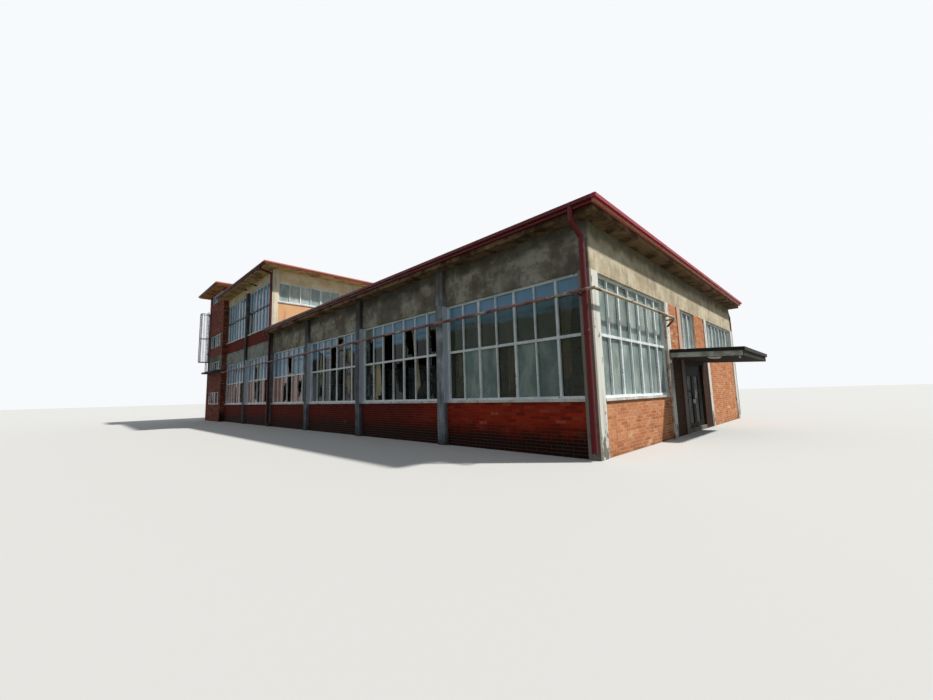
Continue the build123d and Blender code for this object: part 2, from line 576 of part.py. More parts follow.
def block_walls():
    """Brick, bands, sills, windows and glass of the two-storey block."""
    ground = ((BLOCK_FRONT, BLOCK_FRONT_SPANS), (BLOCK_REAR, BLOCK_REAR_SPANS), (BLOCK_END, END_SPANS))
    rows = [(wall, spans, SILL, HEAD, [MIDRAIL, TRANSOM]) for wall, spans in ground]
    rows += [(wall, spans, UPPER_SILL, UPPER_HEAD, [MIDRAIL]) for wall, spans in ground]
    rows.append((BLOCK_SIDE, SIDE_SPANS, STRIP_SILL, STRIP_HEAD, []))
    brick, bands = [], panels(BLOCK_SIDE, SIDE_SPANS, STRIP_HEAD, BLOCK_SOFFIT)
    for wall, spans in ground:
        brick += panels(wall, spans, 0, SILL) + panels(wall, spans, BAND_TOP, UPPER_SILL)
        bands += panels(wall, spans, HEAD, BAND_TOP) + panels(wall, spans, UPPER_HEAD, BLOCK_SOFFIT)
    return {
        "block_brick": brick,
        "block_side_brick": panels(BLOCK_SIDE, SIDE_SPANS, HALL_SOFFIT, STRIP_SILL),
        "block_bands": bands,
        "block_beams": panels(BLOCK_SIDE, SIDE_SPANS, HEAD, HALL_SOFFIT),
        "block_sills": [p for wall, spans, low, _, _ in rows for p in sill_row(wall, spans, low)],
        "block_frames": [p for row in rows for p in window_row(*row)],
        "block_glass": [p for row in rows for p in glass_row(*row[:4])],
    }


def block_columns():
    """Full-height columns of the block; those between it and the hall stand on the floor."""
    posts = []
    for a, b in INNER_COLUMNS:
        proud_front, proud_rear = COLUMN_PROUD * (a == 0), COLUMN_PROUD * (b == DEPTH)
        foot = 0 if proud_front or proud_rear else FLOOR
        posts.append(BLOCK_SIDE * box(a - proud_front, b + proud_rear, 0, COLUMN, foot, BLOCK_SOFFIT))
    posts += columns(BLOCK_FRONT, [MIDDLE_COLUMN], BLOCK_SOFFIT, COLUMN_PROUD)
    posts += columns(BLOCK_REAR, [MIDDLE_COLUMN, LAST_COLUMN], BLOCK_SOFFIT, COLUMN_PROUD)
    posts += columns(BLOCK_END, [END_COLUMN], BLOCK_SOFFIT, PILASTER_PROUD)
    return posts


def storey_floor(x_right, low, high):
    """Floor between the walls: it runs up to the tower's side wall and stops at the end wall."""
    slab = box(X_TOWER + WALL, x_right, Y_FRONT + WALL, Y_REAR - WALL, low, high)
    return slab + box(X_TOWER, X_TOWER + WALL, Y_FRONT + WALL, Y_TOWER_REAR, low, high)


def tower_floor(low, high):
    return box(X_LEFT + WALL, X_TOWER - WALL, Y_TOWER_FRONT + WALL, Y_TOWER_REAR - WALL, low, high)


def floors():
    """Ground floor with the doorway's threshold, and the upper floor of the block and tower."""
    threshold = RIGHT_SIDE * box(*DOORWAY, 0, COLUMN, 0, FLOOR)
    upper_low = UPPER_FLOOR_TOP - UPPER_FLOOR_THICK
    return {
        "floor_slab": [storey_floor(X_RIGHT - COLUMN, 0, FLOOR) + threshold, tower_floor(0, FLOOR)],
        "upper_floor": [
            storey_floor(X_BLOCK - COLUMN, upper_low, UPPER_FLOOR_TOP),
            tower_floor(upper_low, UPPER_FLOOR_TOP),
        ],
    }


def assemble():
    """Every node of the building, in the order in which it goes up."""
    parts = floors()
    parts["hall_columns"] = columns(HALL_FRONT, HALL_COLUMNS, HALL_SOFFIT, COLUMN_PROUD)
    parts["hall_columns"] += columns(HALL_REAR, HALL_COLUMNS, HALL_SOFFIT, COLUMN_PROUD)
    parts["white_columns"] = white_columns()
    parts["block_columns"] = block_columns()
    parts.update(hall_walls())
    parts.update(door_walls())
    parts.update(block_walls())
    parts.update(tower_walls())
    parts["tower_frames"], parts["tower_glass"] = tower_windows()
    parts["tower_ledge"] = TOWER_FRONT * box(0, TOWER_LENGTH, -LEDGE_OUT, 0, LEDGE_UP, LEDGE_UP + LEDGE_THICK)
    parts["hall_roof_slab"], parts["hall_roof_edge"] = hall_roof()
    parts["block_roof_slab"], parts["block_roof_edge"] = block_roof()
    parts["tower_roof_slab"], parts["tower_roof_edge"] = tower_roof()
    parts["canopy_slab"], parts["canopy_sheet"] = canopy()
    parts["door_frame"] = door_frame()
    for name, mirrored in (("near", False), ("far", True)):
        leaf, glass, handle = leaf_parts(mirrored)
        parts[f"{name}_leaf"], parts[f"{name}_leaf_glass"], parts[f"{name}_leaf_handle"] = leaf, glass, handle
    parts["heating_pipe"] = heating_pipe()
    parts["pipe_brackets"] = pipe_brackets()
    parts["downpipes"] = downpipes()
    parts["cage_panels"], parts["cage_front"] = cage()
    parts["cage_ladder"] = cage_ladder()
    return parts


os.makedirs("parts", exist_ok=True)
for node, shape in assemble().items():
    pieces = shape if isinstance(shape, list) else [shape]
    solids = [solid for piece in pieces for solid in piece.solids()]
    export_step(Compound(children=solids) if len(solids) > 1 else solids[0], f"parts/{node}.step")
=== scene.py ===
import bpy
import numpy as np
from mathutils import Matrix, Vector


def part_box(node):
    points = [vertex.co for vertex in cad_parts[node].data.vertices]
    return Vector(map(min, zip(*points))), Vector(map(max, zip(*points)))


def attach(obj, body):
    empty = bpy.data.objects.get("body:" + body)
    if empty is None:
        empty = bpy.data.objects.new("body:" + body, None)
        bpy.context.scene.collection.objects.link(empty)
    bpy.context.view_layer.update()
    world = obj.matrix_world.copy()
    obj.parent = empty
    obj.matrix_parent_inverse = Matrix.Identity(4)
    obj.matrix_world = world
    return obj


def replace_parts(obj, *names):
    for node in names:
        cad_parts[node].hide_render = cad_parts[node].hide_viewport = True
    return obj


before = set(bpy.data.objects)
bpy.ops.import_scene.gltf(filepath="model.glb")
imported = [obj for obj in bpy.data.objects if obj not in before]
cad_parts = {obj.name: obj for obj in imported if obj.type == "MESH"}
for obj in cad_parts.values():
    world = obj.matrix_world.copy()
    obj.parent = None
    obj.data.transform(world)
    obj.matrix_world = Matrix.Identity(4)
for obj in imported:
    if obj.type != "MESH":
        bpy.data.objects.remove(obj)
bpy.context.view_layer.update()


# Ground floor and upper floor.
# Cast concrete slabs between the walls, worn bare and grey with dust. They are poured in place, with
# a low threshold of the same concrete under the entrance door.
class Signal:
    """One output of a material's nodes; arithmetic on it adds Math nodes."""

    def __init__(self, socket):
        self.socket = socket

    def node(self, kind, settings=None, inputs=None, out=0):
        """Adds a node of that kind: its settings first, then values or links for its sockets."""
        tree = self.socket.id_data
        made = tree.nodes.new("ShaderNode" + kind)
        for name, value in (settings or {}).items():
            if name == "stops":
                stops = made.color_ramp.elements
                stops.remove(stops[1])
                stops[0].position, stops[0].color = value[0]
                for at, colour in value[1:]:
                    stops.new(at).color = colour
            else:
                setattr(made, name, value)
        for name, value in (inputs or {}).items():
            if isinstance(value, Signal):
                tree.links.new(value.socket, made.inputs[name])
            else:
                made.inputs[name].default_value = value
        if isinstance(out, tuple):
            return [Signal(made.outputs[i]) for i in out]
        return Signal(made.outputs[out])

    def math(self, operation, first, second=0.0):
        """A Math node on two values, or on the first alone where the operation needs no second."""
        return self.node("Math", {"operation": operation}, {0: first, 1: second})

    def __add__(self, other):
        return self.math("ADD", self, other)

    __radd__ = __add__

    def __sub__(self, other):
        return self.math("SUBTRACT", self, other)

    def __rsub__(self, other):
        return self.math("SUBTRACT", other, self)

    def __mul__(self, other):
        return self.math("MULTIPLY", self, other)

    __rmul__ = __mul__

    def __gt__(self, other):
        return self.math("GREATER_THAN", self, other)

    def __lt__(self, other):
        return self.math("LESS_THAN", self, other)

    def __or__(self, other):
        return self.math("MAXIMUM", self, other)

    def __and__(self, other):
        return self.math("MINIMUM", self, other)


def begin(name):
    """A new material, its Principled shader and the place on the piece in metres."""
    made = bpy.data.materials.new(name)
    made.use_nodes = True
    tree = made.node_tree
    place = Signal(tree.nodes.new("ShaderNodeTexCoord").outputs["Object"])
    return made, tree.nodes["Principled BSDF"], place


def give(shader, inputs):
    """Sets or links the shader's sockets."""
    for name, value in inputs.items():
        if isinstance(value, Signal):
            shader.id_data.links.new(value.socket, shader.inputs[name])
        else:
            shader.inputs[name].default_value = value


def grain(place, size, detail=3.0, stretch=(1, 1, 1)):
    """Noise from 0 to 1 with patches of about one size in metres, drawn out along each axis by stretch."""
    scale = tuple(1 / (size * s) for s in stretch)
    spot = place.node("VectorMath", {"operation": "MULTIPLY"}, {0: place, 1: scale})
    return place.node("TexNoise", None, {"Vector": spot, "Scale": 1.0, "Detail": detail, "Roughness": 0.6})


def rise(value, low, high):
    """0 below low, 1 above high and a smooth step between; it falls where low is above high."""
    flip = low > high
    ends = {"To Min": 1.0 if flip else 0.0, "To Max": 0.0 if flip else 1.0}
    inputs = {"Value": value, "From Min": min(low, high), "From Max": max(low, high), **ends}
    return value.node("MapRange", {"interpolation_type": "SMOOTHSTEP"}, inputs)


def tint(amount, first, second):
    """The first colour where amount is 0 and the second where it is 1."""
    return amount.node("Mix", {"data_type": "RGBA"}, {0: amount, 6: first, 7: second}, out=2)


def bump(height, distance, strength=0.6):
    """Dents and ridges from a height of 0 to 1, which stands for that distance in metres."""
    return height.node("Bump", None, {"Height": height, "Distance": distance, "Strength": strength})


def colour(red, green, blue):
    """A colour as a paint chart gives it, from 0 to 255, made linear for the shader."""
    parts = np.array([red, green, blue]) / 255
    return (*np.where(parts < 0.04, parts / 12.92, ((parts + 0.055) / 1.055) ** 2.4).tolist(), 1.0)


def dress(material, *nodes):
    """Gives CAD pieces their finish."""
    for node in nodes:
        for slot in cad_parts[node].material_slots:
            slot.material = material


floor_finish, shader, place = begin("dusty_floor")
dust = rise(grain(place, 0.9, 5), 0.35, 0.7)
cracks = rise(grain(place, 0.07, 4), 0.62, 0.7)
trodden = tint(dust, colour(96, 90, 82), colour(134, 126, 114))
give(shader, {
    "Base Color": tint(cracks * 0.6, trodden, colour(60, 56, 52)),
    "Roughness": 0.95,
    "Normal": bump(cracks, 0.002),
})
dress(floor_finish, "floor_slab", "upper_floor")


# Columns and beams of bare concrete.
# They are cast against boards before the walls are built between them, so their faces keep fine
# upright board lines, rain streaks and a pale bloom, and their feet are dark with damp.
HALL_LEFT, HALL_RIGHT, BLOCK_LEFT, TOWER_LEFT = -2.5, 15.5, -11.5, -15.5
FRONT, REAR = -6.6, 6.6
BAY, PARAPET, HEAD, EAVE = 4.5, 1.13, 3.82, 5.0
DUSTY_GLOSS = 0.15


def coordinates(place):
    """The place's x, y and z."""
    return place.node("SeparateXYZ", None, {0: place}, out=(0, 1, 2))


def board_marks(along, boards):
    """How far a point is from the nearest board edge: 0 there and half at the middle of a board.

    It goes up and down along a line, once for each board, with so many boards to the metre.
    """
    return along.math("PINGPONG", along * boards, 0.5)


concrete_finish, shader, place = begin("weathered_concrete")
x, y, z = coordinates(place)
streaks = rise(grain(place, 0.16, 4, (1, 1, 9)), 0.42, 0.66)
bloom = rise(grain(place, 0.4, 5), 0.42, 0.66)
damp = rise(z + grain(place, 0.3) * 0.6, 0.75, 0.15)
# Column tops under the eave are browner and darker: stain, and painted shade of the eave.
eave_stain_and_shade = rise(z, 3.7, 4.3) & rise(z, EAVE + 0.2, EAVE)
column_edge = x.math("PINGPONG", x - (HALL_LEFT + BAY + 0.15), BAY / 2)
whitewash = (column_edge < 0.012) & ((z > PARAPET + 0.01) & (z < HEAD))
sun_bleached = rise(x, HALL_LEFT - 0.03, HALL_LEFT - 0.01) & (z > EAVE + 0.1)
bare = tint(bloom, colour(132, 138, 146), colour(182, 189, 198))
bare = tint(streaks * 0.7, bare, colour(84, 80, 78))
bare = tint(eave_stain_and_shade * 0.75, bare, colour(78, 68, 56))
bare = tint(rise(x, HALL_LEFT - 0.2, HALL_LEFT - 0.4) * 0.55, bare, colour(62, 56, 54))
# Front columns away from the entrance corner are darkened as painted shade of plants.
bare = tint((rise(x, 9.6, 8.4) & rise(y, FRONT + 0.3, FRONT + 0.1)) * 0.5, bare, colour(40, 40, 44))
bare = tint((z > 7.98) & (x < HALL_LEFT - 0.2), bare, colour(244, 228, 194))
bare = tint(whitewash * 0.85, bare, colour(206, 216, 230))
bare = tint(sun_bleached * (0.9 - streaks * 0.5), bare, colour(242, 230, 204))
give(shader, {
    "Base Color": tint(damp * 0.8, bare, colour(50, 46, 42)),
    "Roughness": 0.9,
    "Specular IOR Level": DUSTY_GLOSS,
    "Normal": bump(rise(board_marks(x + y, 1 / 0.12), 0.0, 0.05) * 0.5 + grain(place, 0.02, 4), 0.004),
})
dress(concrete_finish, "hall_columns", "block_columns", "block_beams", "tower_ledge")


# Painted columns of the entrance side.
# The same concrete under thick white masonry paint, brushed on and now flaking off in patches, most
# of all near the ground. Round the door the canopy's shade is painted on it near black, and one door
# post has gone tan.
def painted_canopy_shade(x, y, z):
    """1 on the wall round the door and on the pier past it, where the canopy's shade is painted."""
    beneath = rise(x, HALL_RIGHT - 0.2, HALL_RIGHT - 0.1) & rise(z, 2.4, 2.25)
    return beneath & (rise(y, -1.95, -1.85) & rise(y, 2.0, 1.9))


white_finish, shader, place = begin("flaking_white_paint")
x, y, z = coordinates(place)
flakes = grain(place, 0.12, 6, (1, 1, 2)) + rise(z, 0.9, 0.0) * 0.16
gone = rise(flakes, 0.6, 0.64)
dirt = rise(grain(place, 0.2, 4, (1, 1, 7)), 0.45, 0.75)
paint = tint(dirt * 0.65, colour(226, 226, 219), colour(150, 147, 139))
paint = tint(rise(y, FRONT + 0.03, FRONT + 0.01) * 0.85, paint, colour(120, 104, 92))
paint = tint(gone, paint, colour(118, 114, 106))
# The column beside the canopy is darkened below it as the canopy's painted shade.
post_in_canopy_shade = (rise(y, -2.5, -2.4) & rise(y, -1.75, -1.85)) & (rise(z, 0.9, 1.6) & rise(z, 2.45, 2.4))
paint = tint(post_in_canopy_shade * 0.7, paint, colour(44, 40, 36))
door_post = (y > -1.15) & (y < -0.75)
paint = tint(door_post * 0.75, paint, colour(206, 156, 122))
give(shader, {
    # Round the door the paint is made near black as the canopy's painted shade.
    "Base Color": tint(painted_canopy_shade(x, y, z) * 0.93, paint, colour(34, 22, 18)),
    "Roughness": 0.75,
    "Normal": bump(1 - gone, 0.003),
})
dress(white_finish, "white_columns")


# Brickwork: parapets, piers, the wall over the hall's roof and the stair tower.
# Fired clay bricks of 250 by 65 mm in running bond, with 10 mm joints of lime mortar. The wall's own
# face is the mortar, raked a little behind the bricks, and its inner face is plastered.
def wall_line(x, y, turn):
    """A wall seen from outside: its left end, the direction along it and the direction inwards."""
    angle = np.radians(turn)
    along = np.array([np.cos(angle), np.sin(angle)])
    inward = np.array([-np.sin(angle), np.cos(angle)])
    return np.array([x, y]), along, inward


STAIR_FRONT, STAIR_BACK = -6.9, -0.9
HALL_FRONT = wall_line(HALL_LEFT, FRONT, 0)
HALL_REAR = wall_line(HALL_RIGHT, REAR, 180)
ENTRANCE = wall_line(HALL_RIGHT, FRONT, 90)
BLOCK_FRONT = wall_line(BLOCK_LEFT, FRONT, 0)
BLOCK_REAR = wall_line(HALL_LEFT, REAR, 180)
BLOCK_SIDE = wall_line(HALL_LEFT, FRONT, 90)
BLOCK_END = wall_line(BLOCK_LEFT, REAR, 270)
TOWER_FRONT = wall_line(TOWER_LEFT, STAIR_FRONT, 0)
TOWER_END = wall_line(TOWER_LEFT, STAIR_BACK, 270)
TOWER_REAR = wall_line(BLOCK_LEFT, STAIR_BACK, 180)
TOWER_SIDE = wall_line(BLOCK_LEFT, STAIR_FRONT, 90)


def on_wall(line, along, depth, up):
    """Points at a distance along a wall, a depth behind its face and a height above the ground."""
    start, direction, inward = line
    flat = start + np.multiply.outer(along, direction) + np.multiply.outer(depth, inward)
    return np.concatenate([flat, np.asarray(up)[..., None]], axis=-1)


def build(name, points, faces, material, body="building", smooth=False, **values):
    """A mesh piece from arrays of points and of faces, with one number per point for each named value."""
    points = np.asarray(points, np.float32).reshape(-1, 3)
    faces = np.asarray(faces, np.int32)
    mesh = bpy.data.meshes.new(name)
    mesh.vertices.add(len(points))
    mesh.vertices.foreach_set("co", points.ravel())
    mesh.loops.add(faces.size)
    mesh.loops.foreach_set("vertex_index", faces.ravel())
    mesh.polygons.add(len(faces))
    mesh.polygons.foreach_set("loop_start", np.arange(0, faces.size, faces.shape[1], dtype=np.int32))
    mesh.polygons.foreach_set("use_smooth", np.full(len(faces), smooth))
    mesh.update(calc_edges=True)
    for value_name, numbers in values.items():
        kept = mesh.attributes.new(value_name, "FLOAT", "POINT")
        kept.data.foreach_set("value", np.asarray(numbers, np.float32).ravel())
    mesh.materials.append(material)
    piece = bpy.data.objects.new(name, mesh)
    bpy.context.scene.collection.objects.link(piece)
    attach(piece, body)
    return piece


COURSE, BRICK_PITCH, JOINT, PROUD = 0.075, 0.26, 0.01, 0.005
BRICK_SIDES = np.array([[0, 1, 2, 3], [0, 4, 5, 1], [1, 5, 6, 2], [2, 6, 7, 3], [3, 7, 4, 0]])


def lay_bricks(panel, chance):
    """Bricks of one panel, cut off at its ends.

    Brick (k, j) starts at 0.26 (j + half on odd courses) along the wall and at 0.075 k above the ground.
    Its four outer corners stand 3 to 5 mm proud of the mortar, each moved up to 1.3 mm at random.
    """
    line, left, right, low, high = panel
    rows = np.arange(np.floor(low / COURSE), np.ceil(high / COURSE))
    places = np.arange(np.floor(left / BRICK_PITCH) - 1, np.ceil(right / BRICK_PITCH) + 1)
    k, j = (grid.ravel() for grid in np.meshgrid(rows, places, indexing="ij"))
    start, base = BRICK_PITCH * (j + 0.5 * (k % 2)), COURSE * k + JOINT / 2
    u0, u1 = np.clip(start, left, right), np.clip(start + BRICK_PITCH - JOINT, left, right)
    z0, z1 = np.clip(base, low, high), np.clip(base + COURSE - JOINT, low, high)
    whole = (u1 - u0 > 0.03) & (z1 - z0 > 0.02)
    u0, u1, z0, z1 = u0[whole], u1[whole], z0[whole], z1[whole]
    along = np.stack([u0, u1, u1, u0] * 2, axis=1)
    up = np.stack([z0, z0, z1, z1] * 2, axis=1)
    out = np.repeat([[1.0] * 4 + [0.0] * 4], len(u0), axis=0)
    wobble = chance.uniform(-0.0013, 0.0013, (2, *out.shape)) * out
    depth = -out * (PROUD - chance.uniform(0, 0.002, (len(u0), 1)))
    tone = np.repeat(chance.random((len(u0), 1)), 8, axis=1)
    return on_wall(line, along + wobble[0], depth, up + wobble[1]), tone


def brickwork(name, panels, seed, material):
    """All bricks of several panels as one piece, with a tone for each brick."""
    chance = np.random.default_rng(seed)
    laid = [lay_bricks(panel, chance) for panel in panels]
    points, tones = (np.concatenate(parts) for parts in zip(*laid))
    faces = (np.arange(len(points))[:, None, None] * 8 + BRICK_SIDES).reshape(-1, 4)
    build(name, points, faces, material, tone=tones)


def beside(value, plane, reach):
    """1 within that reach of a plane."""
    return value.math("ABSOLUTE", value - plane) < reach


BAND_FOOT, BAND_TOP = 3.44, 4.6
mortar_finish, shader, place = begin("mortar_and_plaster")
x, y, z = coordinates(place)
outer_faces = beside(x, HALL_LEFT, 0.02) | (beside(x, BLOCK_LEFT, 0.02) | beside(y, STAIR_BACK, 0.02))
indoors = (beside(y, 0, REAR - 0.28) & beside(x, 0, HALL_RIGHT - 0.28)) & (1 - outer_faces)
old = rise(grain(place, 0.5, 5, (1, 1, 2)), 0.4, 0.68)
lime = tint(old, colour(236, 212, 180), colour(204, 168, 134))
# On the front the joints are darker and redder as painted shade.
lime = tint(rise(y, FRONT + 0.1, FRONT + 0.02) * 0.9, lime, colour(96, 42, 30))
# Round the door the joints are painted near black as the canopy's shade.
lime = tint(painted_canopy_shade(x, y, z) * 0.93, lime, colour(40, 20, 14))
rendered = (z > BAND_FOOT) & ((z < BAND_TOP) & (x < BLOCK_LEFT + 0.1))
lime = tint(rendered, lime, tint(old, colour(128, 130, 122), colour(84, 82, 74)))
plaster = tint(old, colour(178, 174, 162), colour(120, 112, 98))
give(shader, {
    "Base Color": tint(indoors, lime, plaster),
    "Roughness": 0.95,
    "Specular IOR Level": DUSTY_GLOSS,
    "Normal": bump(grain(place, 0.012, 3), 0.002),
})

brick_finish, shader, place = begin("fired_brick")
x, y, z = coordinates(place)
tone = place.node("Attribute", {"attribute_name": "tone"}, out=2)
sunny = [(0.0, colour(186, 112, 76)), (0.3, colour(204, 138, 98)), (0.62, colour(214, 152, 112))]
sunny += [(0.9, colour(194, 122, 84)), (1.0, colour(228, 182, 146))]
# The front's ramp is a darker, redder copy of the sunny side's: painted shade.
shady = [(0.0, colour(140, 32, 18)), (0.35, colour(172, 48, 26)), (0.7, colour(184, 58, 32))]
shady += [(0.93, colour(156, 38, 22)), (1.0, colour(196, 92, 62))]
brown = [(0.0, colour(96, 52, 44)), (0.45, colour(124, 68, 56))]
brown += [(0.85, colour(142, 82, 68)), (1.0, colour(166, 114, 96))]
warm = place.node("ValToRGB", {"stops": sunny}, {0: tone})
deep = place.node("ValToRGB", {"stops": shady}, {0: tone})
dark = place.node("ValToRGB", {"stops": brown}, {0: tone})
front_side = rise(y, FRONT + 0.1, FRONT) & (x > BLOCK_LEFT - 0.1)
tower_side = rise(x, BLOCK_LEFT + 0.08, BLOCK_LEFT)
bleached = rise(x, HALL_LEFT - 0.03, HALL_LEFT - 0.01) & ((z > EAVE) & (x < HALL_LEFT + 0.5))
warm = tint(bleached * 0.7, warm, colour(246, 198, 150))
# Front bricks away from the entrance corner are darker still, as painted shade of plants.
deep = tint(rise(x, 12.5, 8.6) * 0.8, deep, colour(56, 18, 16))
fired = tint(tower_side, tint(front_side, warm, deep), dark)
patches = grain(place, 0.5, 4)
# Bricks are darker towards the ground, and on the front up to about a metre.
foot = rise(z + patches * 0.5, 1.05, 0.5) * front_side
darker_near_ground = rise(z + patches * 0.75, 0.72, 0.2) * 0.4
runs = rise(grain(place, 0.22, 4, (1, 1, 8)), 0.52, 0.72) * 0.35
# Round the door the bricks are made near black as the canopy's painted shade.
fired = tint((darker_near_ground | foot) | (runs | painted_canopy_shade(x, y, z) * 0.95), fired, colour(26, 10, 7))
salt = rise(grain(place, 0.35, 5, (1.6, 1.6, 1)), 0.68, 0.8) * 0.3
give(shader, {
    "Base Color": tint(salt, fired, colour(206, 186, 166)),
    "Roughness": 0.88,
    "Specular IOR Level": DUSTY_GLOSS,
    "Normal": bump(grain(place, 0.014, 4), 0.003),
})

dress(mortar_finish, "hall_parapets", "door_piers", "upper_pier", "door_lintel", "right_far_wall")
dress(mortar_finish, "block_brick", "block_side_brick", "tower_front", "tower_end_wall", "tower_side_wall")
dress(mortar_finish, "tower_rear_wall")

FRONT_BAYS = [(0.0, 4.35), (4.65, 8.85), (9.15, 13.35), (13.65, 17.77)]
REAR_BAYS = [(0.23, 4.35), (4.65, 8.85), (9.15, 13.35), (13.65, 18.0)]
BLOCK_BAYS = [(0.0, 4.35), (4.65, 8.7)]
BLOCK_REAR_BAYS = [(0.3, 4.35), (4.65, 8.7)]
END_BAYS = [(0.3, 3.75), (4.05, 7.5)]
INNER_BAYS = [(0.2, 4.4), (4.7, 8.55), (8.85, 13.0)]
NEAR_BAY, DOOR_BAY, FAR_BAY = (0.31, 4.4), (5.8, 7.4), (8.85, 12.9)
HIGH_PARAPET, UPPER_PARAPET = 2.5, 5.3

panels = [(HALL_FRONT, a, b, 0, PARAPET) for a, b in FRONT_BAYS]
panels += [(HALL_REAR, a, b, 0, PARAPET) for a, b in REAR_BAYS]
panels.append((ENTRANCE, *NEAR_BAY, 0, PARAPET))
brickwork("parapet_bricks", panels, 11, brick_finish)

panels = [(ENTRANCE, 4.7, 5.5, 0, HEAD), (ENTRANCE, 7.85, 8.55, 0, HIGH_PARAPET)]
panels += [(ENTRANCE, 7.4, 8.55, HIGH_PARAPET, HEAD), (ENTRANCE, 5.8, 7.85, 2.13, HIGH_PARAPET)]
panels.append((ENTRANCE, *FAR_BAY, 0, HIGH_PARAPET))
brickwork("entrance_bricks", panels, 12, brick_finish)

panels = [
    (line, left, right, low, high)
    for line, bays in ((BLOCK_FRONT, BLOCK_BAYS), (BLOCK_REAR, BLOCK_REAR_BAYS), (BLOCK_END, END_BAYS))
    for left, right in bays
    for low, high in ((0, PARAPET), (BAND_TOP, UPPER_PARAPET))
]
panels += [(BLOCK_SIDE, a, b, 5.08, 6.61) for a, b in INNER_BAYS]
brickwork("block_bricks", panels, 13, brick_finish)

TOWER_TOP, TOWER_BAY = 9.35, (0.42, 3.58)
TOWER_LIGHTS = ((1.18, 2.04), (3.64, 4.23), (5.29, 6.21), (8.64, 9.33))
panels = [
    (TOWER_FRONT, left, right, low, high)
    for left, right in ((0, TOWER_BAY[0]), (TOWER_BAY[1], 4.0))
    for low, high in ((0, BAND_FOOT), (BAND_TOP, TOWER_TOP))
]
brick_foots = (0, TOWER_LIGHTS[0][1], BAND_TOP, TOWER_LIGHTS[2][1])
brick_tops = (TOWER_LIGHTS[0][0], BAND_FOOT, TOWER_LIGHTS[2][0], TOWER_LIGHTS[3][0])
panels += [(TOWER_FRONT, *TOWER_BAY, low, high) for low, high in zip(brick_foots, brick_tops)]
panels += [(TOWER_END, 0, 6, 0, TOWER_TOP), (TOWER_REAR, 0, 4, 0, TOWER_TOP)]
panels += [(TOWER_SIDE, 0, 0.3, 0, 8.4), (TOWER_SIDE, 0, 6, 8.53, TOWER_TOP)]
brickwork("tower_bricks", panels, 14, brick_finish)


# Rendered bands over the windows and between the storeys.
# Cement render floated over brick and concrete, once cream. Rain from the roof edge has drawn grey
# runs down it, and patches have worn to the rough undercoat. It is painted greyer on the front as
# shade, and darker just under the eaves as stain and painted shade.
render_finish, shader, place = begin("stained_render")
x, y, z = coordinates(place)
cloud = rise(grain(place, 0.8, 5), 0.38, 0.62)
worn = rise(grain(place, 0.22, 7, (1.4, 1.4, 1)), 0.46, 0.6)
runs = rise(grain(place, 0.2, 5, (1, 1, 4)), 0.52, 0.72)
front_side = rise(y, FRONT + 0.1, FRONT + 0.02)
cream = tint(cloud, colour(218, 206, 180), colour(188, 173, 147))
grey = tint(cloud, colour(178, 172, 160), colour(116, 110, 100))
below_eave = rise(z, EAVE + 0.2, EAVE)
grey = tint(rise(x, HALL_LEFT + 0.1, HALL_LEFT) * below_eave, grey, colour(158, 163, 160))
# The front's coat is greyer and darker than the side's cream: painted shade.
coat = tint(front_side, cream, grey)
high = rise(z, EAVE + 0.4, EAVE + 0.6)
coat = tint(high * 0.85, coat, tint(cloud, colour(255, 242, 210), colour(236, 212, 172)))
# Just under the eave the render is darker: painted shade of the eave, with stain.
eave_stain_and_shade = rise(z + grain(place, 0.5, 5) * 0.5, 4.7, 4.95) & below_eave
coat = tint(worn * (0.2 + front_side * 0.35) * (1 - high * 0.85), coat, colour(104, 94, 80))
coat = tint(runs * (0.35 - high * 0.22) | eave_stain_and_shade * 0.65, coat, colour(64, 57, 46))
give(shader, {
    "Base Color": coat,
    "Roughness": 0.95,
    "Specular IOR Level": DUSTY_GLOSS,
    "Normal": bump(worn * -0.6 + grain(place, 0.008, 3) * 0.5, 0.006),
})
dress(render_finish, "hall_band", "right_band", "block_bands")


# Window sills.
# Folded steel sheet on the brickwork, painted white. Rust bleeds through it in short upright runs, and
# dirt has greyed it in patches.
sill_finish, shader, place = begin("rusty_white_sill")
rust = rise(grain(place, 0.1, 5, (1, 1, 4)), 0.58, 0.68)
grime = rise(grain(place, 0.35, 4), 0.4, 0.7)
paint = tint(grime * 0.7, colour(222, 222, 216), colour(146, 140, 130))
give(shader, {
    "Base Color": tint(rust * 0.7, paint, colour(112, 66, 42)),
    "Roughness": 0.55,
    "Normal": bump(1 - rust, 0.001),
})
dress(sill_finish, "hall_sills", "block_sills")


# Steel window frames.
# Rolled steel bars welded into one frame for each bay and painted white. The paint is chalky and
# has chipped to brown steel at random, and grime has darkened the midrails of the upper storey.
frame_finish, shader, place = begin("chipped_white_steel")
y, z = coordinates(place)[1:]
chips = rise(grain(place, 0.05, 5), 0.63, 0.67)
chalk = rise(grain(place, 0.4, 4), 0.35, 0.7)
paint = tint(chalk, colour(242, 247, 250), colour(214, 222, 228))
upper_rail = (rise(z, 6.6, 6.62) & rise(z, 6.76, 6.74)) & rise(y, FRONT + 0.2, FRONT + 0.1)
paint = tint(upper_rail, paint, colour(54, 50, 52))
give(shader, {
    "Base Color": tint(chips, paint, colour(96, 58, 40)),
    "Roughness": 0.6,
    "Normal": bump(1 - chips, 0.001),
})
dress(frame_finish, "hall_frames", "block_frames", "tower_frames")


